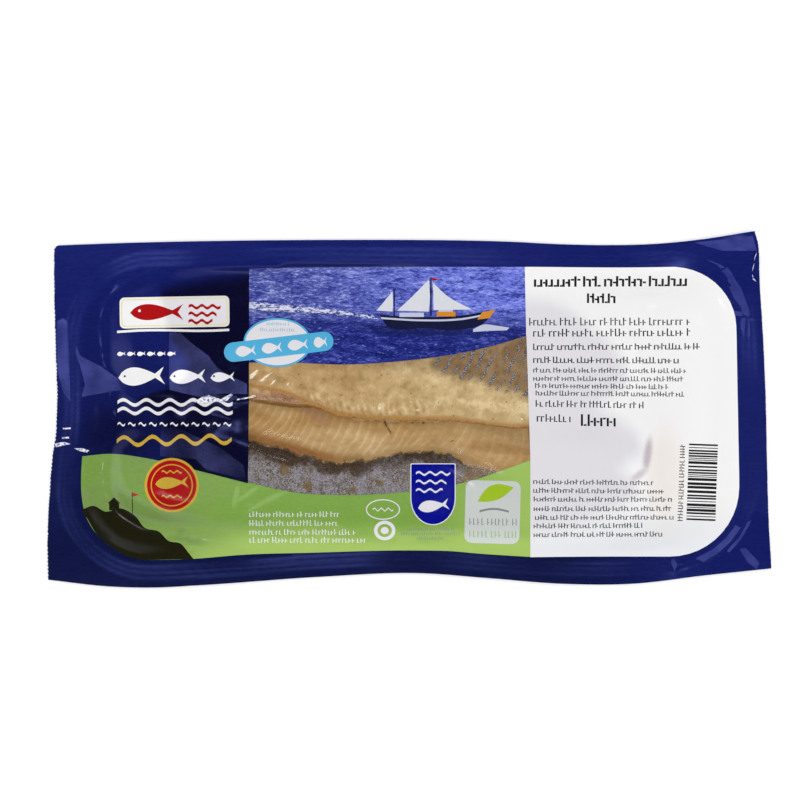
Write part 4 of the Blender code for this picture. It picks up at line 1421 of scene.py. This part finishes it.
def silver_skin(s):
    """Skin of the lower fillet: silver grain with golden patches, dark along the flesh, where darker skin
    lies under a painted shadow of the middle fillet's edge.
    """
    recipe = new_recipe("silver_skin", s.skin_brown)
    grain, cloud = recipe.noise(0.45, 2.0, rough=0.6), recipe.noise(1.8, 5.0)
    recipe.coat(dimmed(s.skin, 0.55), recipe.rise(recipe.noise(6.0, 3.0, 1.6, 80), 0.40, 0.60))
    recipe.coat(s.skin, recipe.rise(cloud, 0.34, 0.60))
    recipe.coat(s.skin_silver, recipe.rise(recipe.noise(0.6, 3.0, 2.2, 84), 0.48, 0.62, 0.0, 0.45))
    recipe.coat(s.skin_grey, recipe.rise(recipe.noise(5.0, 4.0, 1.5, 90), 0.46, 0.62, 0.0, 0.6))
    recipe.coat(s.skin_silver, recipe.rise(grain, 0.50, 0.62, 0.0, 0.58))
    recipe.coat(s.skin_dark, recipe.rise(grain, 0.48, 0.36, 0.0, 0.45))
    gold = recipe.mottle(s.skin_gold, grain, 0.9)
    recipe.smear(gold, "golden", recipe.noise(2.0, 5.0, 1.8, 84), 0.50, 0.46, 1.10, 0.80)
    recipe.coat(gold, recipe.rise(recipe.noise(3.0, 4.0), 0.58, 0.66, 0.0, 0.45))
    cells = {"Vector": recipe.place(1.4, 80), "Scale": 1 / (SKIN_CELL * MM), "Randomness": 1.0}
    cracks = recipe.add("TexVoronoi", cells, feature="DISTANCE_TO_EDGE").outputs[0]
    recipe.smear(s.skin_dark, recipe.rise(cracks, 0.05, 0.0), cloud, 0.30, 0.60, 1.10, 0.45)
    recipe.smear(s.skin_tail, recipe.rise(recipe.axis("X"), 0.008, 0.030), cloud, 0.35, 0.36, 1.0, 0.55)
    # Painted shadow of the middle fillet's edge, over the skin's darker back.
    shade = recipe.mix(recipe.rise(grain, 0.40, 0.62), s.skin_dark, s.skin_brown)
    recipe.smear(shade, "under_edge", cloud, 0.35, 0.05, 0.95, 0.92)
    return recipe.finish(Roughness=0.36, Metallic=0.10, Normal=recipe.bump(grain, 0.06), IOR=1.45)


def low_edge_of(name, x):
    """Where a fillet's lower edge shows."""
    return smooth_line(FILLETS[name]["low_edge"], x) - smooth_line(FILLETS[name]["spread"], x)


def patch(x, y, centre, radii, tilt=0.0, strength=1.0):
    """Its strength in the middle of an oval patch and 0 outside it."""
    c, s = cos(radians(tilt)), sin(radians(tilt))
    dx, dy = x - centre[0], y - centre[1]
    reach = np.hypot((dx * c + dy * s) / radii[0], (dy * c - dx * s) / radii[1])
    return strength * smooth_step(1.5 - reach)


def patches(x, y, spots):
    """The strongest of several oval patches, each given as centre, reach, turn and strength."""
    return np.max([patch(x, y, *spot) for spot in spots], axis=0)


# Marks on the fillets, in mm: the fresh cut along the upper one's edge, the teeth of its crest, its
# silver streaks, the middle one's muscle lines, and the lower one's golden patches
FACET_FROM, FACET_TO, FACET_SPLIT = -59.0, -37.5, -51.4
FACET_WIDTH = [(-60, 5.2), (-51, 5.0), (-44, 4.0), (-38, 1.6)]
# Band strength sets the edge's deeper brown together with painted shade, seam strength the painted shade in
# the seam.
BAND_WIDTH = 3.2
BAND_STRENGTH = [(-60, 0.6), (-38, 0.95), (-20, 0.95), (0, 0.85), (24, 0.80), (45, 0.75)]
SEAM_STRENGTH = [(-60, 1.0), (-38, 1.0), (-32, 0.8), (-8, 0.5), (8, 0.6), (20, 0.7), (45, 0.7)]
LIGHTNESS = [(-60, 0.0), (-45, 0.14), (-30, 0.22), (-8, 0.42), (8, 0.70), (30, 0.92), (45, 1.0)]
CREST_AT = [(-60, 4.6), (-8, 4.6), (12, 6.4), (45, 6.6)]
CREST_REACH = [(-60, 2.0), (-8, 2.0), (12, 2.8), (45, 2.8)]
TOOTH_PITCH = 2.9
STREAK_PITCH, STREAK_START, STREAK_TURN = 3.5, 1.6, 63
SCALED_FROM = [(6, 18.0), (8.7, 14.2), (29.5, 7.6), (44.3, 2.4)]
MUSCLE_PITCH = 3.6
MUSCLE_SWEEP = 11.0
MUSCLE_BEND = 0.62
SKIN_FROM = [(8, -19.0), (13.2, -18.4), (22, -20.2), (32.4, -22.6), (44, -25.8)]
# Strength of the painted shadow on the lower fillet along the middle fillet's edge
SHADE_STRENGTH = [(-60, 1.0), (-42, 1.0), (-37, 0.7), (-33, 0.95), (-18, 0.9), (-9, 0.6), (0, 0.8),
                  (14, 0.7), (24, 0.3), (32, 0.1)]
# Strength of the painted shade on the middle fillet below the seam
SEAM_SHADE_STRENGTH = [(-40, 0.0), (-24, 0.5), (8, 0.45), (20, 0.2), (45, 0.25)]
GOLDEN = [((-46.5, -22), (2.0, 5.0), 8), ((-38.5, -28.5), (2.6, 2.4), 0), ((-21.5, -30.0), (2.4, 1.6), 0),
          ((-36.8, -22.4), (1.2, 2.0), 0), ((-57.0, -26.0), (1.6, 1.6), 0), ((-11, -27.5), (1.8, 1.4), 0)]
DARK_MARKS = [((-21.3, -2.6), (2.2, 0.18), -12), ((-8.8, -5.4), (0.40, 1.4), 22),
              ((-7.3, -8.0), (0.36, 1.5), 28), ((1.35, -5.0), (0.35, 0.45), 0),
              ((5.4, -5.0), (0.6, 0.35), -20), ((16.2, -11.8), (0.7, 0.2), 20)]
PALE_FLESH = [((-22, -12), (20, 5), -6), ((-50, 0), (7, 3), -20, 0.5), ((26, -12), (26, 8), 0, 0.55)]
WRINKLES = ((-34, -2.4), (8.5, 2.4), -33)
ORANGE_PATCH = ((33, -14.5), (14, 2.4), -6, 0.5)
BROWN_CORNER = ((40, 22), (9, 5), 20)
SHADE_REACH = 6.5
UPPER_LUMPS = ((4.0, 0.10, 31), (1.4, 0.03, 32))
MIDDLE_LUMPS = ((4.0, 0.06, 41), (1.2, 0.02, 42))
LOWER_LUMPS = ((2.2, 0.10, 51), (0.9, 0.04, 52))


def upper_details(x, y):
    """Relief and masks of the upper fillet."""
    above = y - low_edge_of("fillet_upper", x)
    width = smooth_line(FACET_WIDTH, x) + 0.4 * value_noise(x, y, 3.0, 38)
    facet = between(x, FACET_FROM, FACET_TO, 0.8, 5)
    facet = facet * smooth_step((width - above) / 0.9) * smooth_step((above - 0.3) / 0.5)
    facet = facet * smooth_step(np.abs(x + 0.4 * above - FACET_SPLIT) / 0.6)
    lip = smooth_step((FACET_TO + 3 - x) / 5) * bell(above - width - 0.3, 0.7)
    # The band is partly the edge's own colour and partly painted shade on its flank.
    band = smooth_step((BAND_WIDTH - above) / 2.6) * (1 - facet) * smooth_line(BAND_STRENGTH, x)
    wavy = x + 0.35 * above + 1.4 * value_noise(x, y, 5.0, 35)
    tooth = np.cos(2 * pi * wavy / TOOTH_PITCH) * between(x, -44, 16, 10, 14)
    over_crest = above - smooth_line(CREST_AT, x)
    on_crest, below_crest = bell(over_crest, smooth_line(CREST_REACH, x)), bell(over_crest + 2.2, 1.3)
    plain_crest = 0.4 + 0.45 * smooth_step((x + 2) / 16)
    # The crest mask paints highlight on the crest and its teeth, and shade just below them.
    crest = 0.5 + 0.16 * on_crest * (plain_crest + 0.6 * tooth) - 0.10 * below_crest * (0.5 - 0.5 * tooth)
    relief = uneven(x, y, UPPER_LUMPS)
    relief += 0.30 * on_crest + 0.12 * on_crest * tooth - 0.35 * facet
    c, s = cos(radians(STREAK_TURN)), sin(radians(STREAK_TURN))
    aside, along = s * x - c * y, c * x + s * y
    scaly = smooth_step((y - smooth_line(SCALED_FROM, x) + 1.8 * value_noise(x, y, 3.0, 36)) / 4.5)
    scaly = scaly * smooth_step((x - 6) / 5)
    wave = np.cos(2 * pi * (aside - STREAK_START + 1.0 * value_noise(x, y, 5.0, 33)) / STREAK_PITCH)
    broken = smooth_step(0.95 + 1.2 * value_noise(along, aside * 1.7, 4.0, 34))
    duller = 0.12 * smooth_step((above - 7) / 5) * smooth_step((-8 - x) / 20)
    masks = {
        "lightness": np.clip(smooth_line(LIGHTNESS, x) - duller, 0, 1),
        "facet": facet,
        # Painted highlight on the cut's left block.
        "facet_light": 0.35 * smooth_step(FACET_SPLIT - x) * smooth_step((above - 1.4) / 2),
        "band": np.maximum(band, lip),
        "seam": smooth_step((1.4 - above) / 1.2) * smooth_line(SEAM_STRENGTH, x),
        "crest": crest,
        "streak": scaly * smooth_step((wave + 0.35) / 1.3) * broken,
        "brown": np.maximum(0.85 * scaly, patch(x, y, *BROWN_CORNER)),
    }
    return relief, masks


def middle_details(x, y):
    """Relief and masks of the middle fillet."""
    edge, seam = low_edge_of("fillet_middle", x), low_edge_of("fillet_upper", x)
    above, below_seam = y - edge, seam - y
    share = np.clip(above / np.maximum(seam - edge, 1), 0, 1.6)
    sweep = MUSCLE_SWEEP * (1 + 0.9 * smooth_step((-20 - x) / 40))
    muscle = (x - sweep * share**MUSCLE_BEND) / MUSCLE_PITCH
    lined = smooth_step((above - 1.0) / 2.5) * (0.7 + 0.3 * smooth_step((12 - x) / 20))
    relief = 0.02 * np.cos(2 * pi * muscle) * lined
    relief += uneven(x, y, MIDDLE_LUMPS)
    wrinkled = patch(x, y, *WRINKLES)
    relief += 0.06 * wrinkled * value_noise(x + y, 4 * (y - x), 6.0, 43)
    # Painted shade below the upper fillet's edge, and a darker line of it at the left.
    dusk = smooth_line(SEAM_SHADE_STRENGTH, x) * smooth_step((3.2 - below_seam) / 3.0)
    dark_seam = smooth_step((1.2 - below_seam) / 0.9) * smooth_step((-35 - x) / 3)
    frothy = 0.7 * between(x, -42, -34, 2, 2) + between(x, -24, 14, 4, 4)
    masks = {
        "muscle": muscle,
        "lined": lined,
        "pale": patches(x, y, PALE_FLESH),
        "orange": smooth_step((-14 - x) / 24) * bell(above - 1.6, 2.6) + patch(x, y, *ORANGE_PATCH),
        "smear": 0.8 * wrinkled,
        "dusk": np.maximum(dusk, dark_seam),
        "froth": frothy * smooth_step((1.3 - below_seam) / 1.2),
        "skin_left": smooth_step((smooth_line(SKIN_FROM, x) - y + 1.6) / 3.2) * smooth_step((x - 6) / 6),
        "rim": smooth_step((2.4 - above) / 2.4) * smooth_step((26 - x) / 6),
        "marks": patches(x, y, DARK_MARKS),
    }
    return relief, masks


def lower_details(x, y):
    """Relief and masks of the lower fillet."""
    below = low_edge_of("fillet_middle", x) - y
    relief = uneven(x, y, LOWER_LUMPS)
    # Painted shadow of the middle fillet's edge, where the skin is also darker.
    reach = SHADE_REACH + 1.5 * value_noise(x, y, 4.0, 53)
    shade = smooth_step((reach - below) / 5.0) * smooth_line(SHADE_STRENGTH, x)
    return relief, {"under_edge": shade, "golden": patches(x, y, GOLDEN)}


# Each fillet's finish and details, in the order that they are laid
FISH = {
    "fillet_lower": (silver_skin, lower_details),
    "fillet_middle": (cut_flesh, middle_details),
    "fillet_upper": (tan_flesh, upper_details),
}


def grid_triangles(columns, rows):
    """Triangles of a grid of points that are listed column by column."""
    i = np.arange(columns * rows).reshape(columns, rows)
    a, b, c, d = i[:-1, :-1].ravel(), i[1:, :-1].ravel(), i[1:, 1:].ravel(), i[:-1, 1:].ravel()
    return np.concatenate([np.stack([a, b, c], axis=1), np.stack([a, c, d], axis=1)])


def lay_fillet(name, finish, details):
    """One fillet on what lies below it."""
    lattice, layers, *_ = pack_form()
    fillet = FILLETS[name]
    along = np.linspace(-FILLET_REACH, FILLET_REACH, FILLET_COLUMNS)
    across = np.linspace(-1, 1, FILLET_ROWS)
    across = (across + np.sin(pi / 2 * across)) / 2
    u, v = (axis.ravel() for axis in np.meshgrid(along, across, indexing="ij"))
    x = (fillet["head"] + fillet["tail"]) / 2 + u * (fillet["tail"] - fillet["head"]) / 2
    _, middle, half = fillet_sides(fillet, x)
    y = middle + v * half
    thickness = fillet_thickness(fillet, x, y)
    drop = fillet["drop"] * smooth_step(1 - (1 + v) * half / DROP_WIDTH)
    y = y - smooth_line(fillet["spread"], x) * smooth_step((SPREAD_BELOW - v) / SPREAD_WIDTH)
    under = lattice.read(layers[name], x, y) - drop
    relief, masks = details(x, y)
    inward = smooth_step((1 - np.abs(v)) / RELIEF_INSET_ACROSS)
    inward = inward * smooth_step((1 - np.abs(u)) / RELIEF_INSET_ALONG)
    top = under + thickness + relief * inward
    frayed = smooth_step((FRAYED_BELOW - v) / FRAYED_WIDTH)
    y = y + fillet["fray"] * uneven(x, y * 0, FRAY_LUMPS) * frayed
    top = np.minimum(top, lattice.read(layers["top_film"], x, y) - LID_CLEARANCE / 2)
    bottom = np.minimum(under, top - FILLET_RIM)
    triangles = grid_triangles(FILLET_COLUMNS, FILLET_ROWS)
    inks = np.full(len(triangles), "fish")
    piece = closed_body(name + "_fish", (x, y), (top, bottom), triangles, inks, {"fish": finish}, masks)
    settle(piece, name)


WAKE_MIDDLE = [(-62, 39.0), (-48, 37.9), (-35, 37.1), (-24, 35.9), (-11, 34.2)]
WAKE_WIDTH = [(-62, 1.5), (-40, 1.1), (-20, 0.7), (-11, 0.5)]


def wake_foam(x, y):
    """Foam behind the boat: 1 in the middle of the wake and 0 outside it."""
    aside = np.abs(y - smooth_line(WAKE_MIDDLE, x)) / smooth_line(WAKE_WIDTH, x)
    return smooth_step(1.4 - 0.8 * aside) * smooth_step((-10.5 - x) / 2)


def painted_emboss_sheen(x, y):
    """Painted sheen: long lighter bands along the seal's embossed lines that run round the pack."""
    inside = inside_rim(*film_point(x, y)) + 0.5 * value_noise(x, y, 30.0, 73)
    bands = sum(bell(inside - line, 0.7) for line in EMBOSSED_LINES)
    return bands * smooth_step(0.5 + 0.8 * value_noise(x, y, 24.0, 74))


# Where the fish's fat wets the film and darkens its print, as (y, x), and over what length
WET_FROM = [(-40, -98), (-20, -94.5), (-8, -94.5), (-2, -104), (4, -104), (8, -92.5), (30, -92.5), (60, -100)]
WET_SOFTNESS = 4.0
WET_TOP = 36

# Patches of the film: the field dimmed at the left and the shade below the hull, the green field's
# paler streaks, and painted shade on the white field, warm on the bump beside its dent and grey along the
# dent
DIMMED = ((-108, -9), (14, 9), 0, 0.55)
FILM_PATCHES = {
    "hull_shade": [((4, 29.6), (20, 2.2), -2)],
    "gleam": [((-50.5, -33.0), (8.0, 0.8), 28), ((-60.0, -31.4), (6.0, 0.8), 36),
              ((-64.8, -32.5), (1.0, 4.4), -12), ((-56.0, -35.5), (7.0, 0.7), 33)],
    "warm": [((96.5, -25), (6.5, 17), 0, 0.8)],
    "crease": [((89.6, -17), (1.5, 6.0), -8), ((86.4, -24.6), (3.6, 1.3), 35, 0.8)],
}


def lay_top_film(settings):
    """The printed film and, in one sheet with it, the clear window."""
    lattice, layers, *slopes = pack_form()
    x, y, triangles = film_mesh(True)
    inks = inks_of(x, y, triangles)
    lid = lattice.read(layers["top_film"], x, y)
    slopes = [lattice.read(slope, x, y) for slope in slopes]
    wet = smooth_step((x - smooth_line(WET_FROM, y)) / WET_SOFTNESS)
    wet = wet * (1 - smooth_step((y - WET_TOP) / 12) * (x > PANEL_LEFT_TOP[0]))
    on_fish = wet * lattice.read(layers["over_fish"], x, y)
    masks = {
        "over_fish": np.maximum(on_fish, patch(x, y, *DIMMED)),
        "bands": painted_emboss_sheen(x, y),
        "wake": wake_foam(x, y),
        **{name: patches(x, y, spots) for name, spots in FILM_PATCHES.items()},
    }
    flat = facing_of(x, y, triangles)
    finishes = film_inks(settings)
    heights = (lid + LID_TOP, lid + LID_UNDERSIDE)
    clear = np.isin(inks, ("clear", "creased_clear"))
    for name, node, slot, part in (
        ("printed_film", "top_film", "printed_film", ~clear),
        ("clear_window", "window", "clear_film", clear),
    ):
        own = {ink: finish for ink, finish in finishes.items() if ink in inks[part]}
        piece = closed_body(
            name, (x, y), heights, triangles[part], inks[part], own, masks, slopes, flat[part]
        )
        settle(piece, node)


def lay_bottom_film(settings):
    """The formed film below the fish."""
    lattice, layers, *_ = pack_form()
    x, y, triangles = film_mesh(False)
    tray = lattice.read(layers["bottom_film"], x, y)
    slopes = [lattice.read(slope, x, y) for slope in np.gradient(layers["bottom_film"], FINE_CELL)]
    inks, finishes = np.full(len(triangles), "navy"), {"navy": navy_ink(settings)}
    masks = {"over_fish": np.zeros(len(x)), "bands": np.zeros(len(x))}
    heights = (tray, np.maximum(tray - TRAY_THICKNESS, 0))
    piece = closed_body("formed_film", (x, y), heights, triangles, inks, finishes, masks, slopes)
    settle(piece, "bottom_film")


def hang_sky(settings):
    """A tent of light: bright low down and at both ends, dark overhead."""
    world = bpy.data.worlds.new("studio_tent")
    bpy.context.scene.world = world
    recipe = Recipe(world)
    split = recipe.add("SeparateXYZ", {0: recipe.add("TexCoord").outputs["Generated"]})
    start = cos(settings.tent_angle)
    low = recipe.rise(split.outputs["Z"], start + 0.10, start - 0.06)
    ends = recipe.math("POWER", recipe.math("ABSOLUTE", split.outputs["X"]), 2.0)
    ends = recipe.math("MULTIPLY_ADD", ends, TENT_ENDS, TENT_SIDES)
    strength = recipe.times(recipe.times(low, ends), settings.side_light)
    strength = recipe.math("ADD", strength, settings.sky_light)
    background = recipe.add("Background", {"Color": WHITE, "Strength": strength})
    recipe.add("OutputWorld", {"Surface": background.outputs[0]})


def hang_sun(name, turn, tilt, width, strength):
    """A lamp far off, in a given direction and of a given width in degrees."""
    data = bpy.data.lights.new(name, "SUN")
    data.energy = strength
    data.angle = radians(width)
    lamp = bpy.data.objects.new(name, data)
    lamp.rotation_euler = (0.0, radians(tilt), radians(turn))
    bpy.context.scene.collection.objects.link(lamp)
    return lamp


def hang_lamps(settings):
    """A wide lamp overhead that lights the pack evenly, and a small one that the film mirrors."""
    hang_sun("top_lamp", 0, 0, TOP_WIDTH, settings.top_light).visible_glossy = False
    small = hang_sun("small_lamp", SMALL_LAMP_TURN, SMALL_LAMP_TILT, SMALL_LAMP_WIDTH, settings.small_light)
    small.visible_diffuse = False


def set_floor(settings):
    """A plain pale floor."""
    bpy.ops.mesh.primitive_plane_add(size=FLOOR_SIZE)
    floor = bpy.context.object
    floor.name = "studio_floor"
    recipe = new_recipe("pale_floor", tuple(settings.floor))
    recipe.coat(FLOOR_SHADE, recipe.rise(recipe.noise(300.0, 2.0), 0.3, 0.7, 0.0, 0.02))
    finish = recipe.finish(Roughness=0.9, Emission_Color=WHITE, Emission_Strength=FLOOR_GLOW)
    floor.data.materials.append(finish)


def set_camera(settings):
    """The camera, straight above the pack."""
    data = bpy.data.cameras.new("camera")
    data.sensor_width = 36.0
    data.lens = data.sensor_width * settings.distance / settings.view_width
    data.clip_end = 4 * settings.distance
    camera = bpy.data.objects.new("camera", data)
    camera.location = (settings.view_x, settings.view_y, settings.distance)
    bpy.context.scene.collection.objects.link(camera)
    bpy.context.scene.camera = camera


class HERRING_OT_studio(bpy.types.Operator):
    """Set up the camera, the floor and the light"""

    bl_idname = "herring.studio"
    bl_label = "Studio"

    def execute(self, context):
        settings = context.scene.herring_studio
        set_camera(settings)
        set_floor(settings)
        hang_sky(settings)
        hang_lamps(settings)
        context.scene.view_settings.view_transform = "Standard"
        return {"FINISHED"}


class HERRING_OT_bottom_film(bpy.types.Operator):
    """Lay the formed lower film"""

    bl_idname = "herring.bottom_film"
    bl_label = "Formed Film"

    def execute(self, context):
        lay_bottom_film(context.scene.herring_print)
        return {"FINISHED"}


class HERRING_OT_fillets(bpy.types.Operator):
    """Lay the three fillets, the lowest first"""

    bl_idname = "herring.fillets"
    bl_label = "Fillets"

    def execute(self, context):
        for name, (finish, details) in FISH.items():
            lay_fillet(name, finish(context.scene.herring_fish), details)
        return {"FINISHED"}


class HERRING_OT_top_film(bpy.types.Operator):
    """Lay the printed film with its clear window"""

    bl_idname = "herring.top_film"
    bl_label = "Printed Film and Window"

    def execute(self, context):
        lay_top_film(context.scene.herring_print)
        return {"FINISHED"}


OPERATORS = (HERRING_OT_studio, HERRING_OT_bottom_film, HERRING_OT_fillets, HERRING_OT_top_film)


class HERRING_PT_pack(bpy.types.Panel):
    """Pieces of the herring pack"""

    bl_label = "Herring Pack"
    bl_space_type = "VIEW_3D"
    bl_region_type = "UI"
    bl_category = "Herring"

    def draw(self, context):
        for operator in OPERATORS:
            self.layout.operator(operator.bl_idname)


SETTINGS = {
    "herring_print": HerringPrintSettings,
    "herring_fish": HerringFishSettings,
    "herring_studio": HerringStudioSettings,
}


def register():
    for cls in (*SETTINGS.values(), *OPERATORS, HERRING_PT_pack):
        bpy.utils.register_class(cls)
    for name, cls in SETTINGS.items():
        setattr(bpy.types.Scene, name, PointerProperty(type=cls))


def unregister():
    for name in SETTINGS:
        delattr(bpy.types.Scene, name)
    for cls in (HERRING_PT_pack, *OPERATORS[::-1], *list(SETTINGS.values())[::-1]):
        bpy.utils.unregister_class(cls)


def main():
    register()
    bpy.ops.herring.studio()
    bpy.ops.herring.bottom_film()
    bpy.ops.herring.fillets()
    bpy.ops.herring.top_film()


if __name__ == "__main__":
    main()
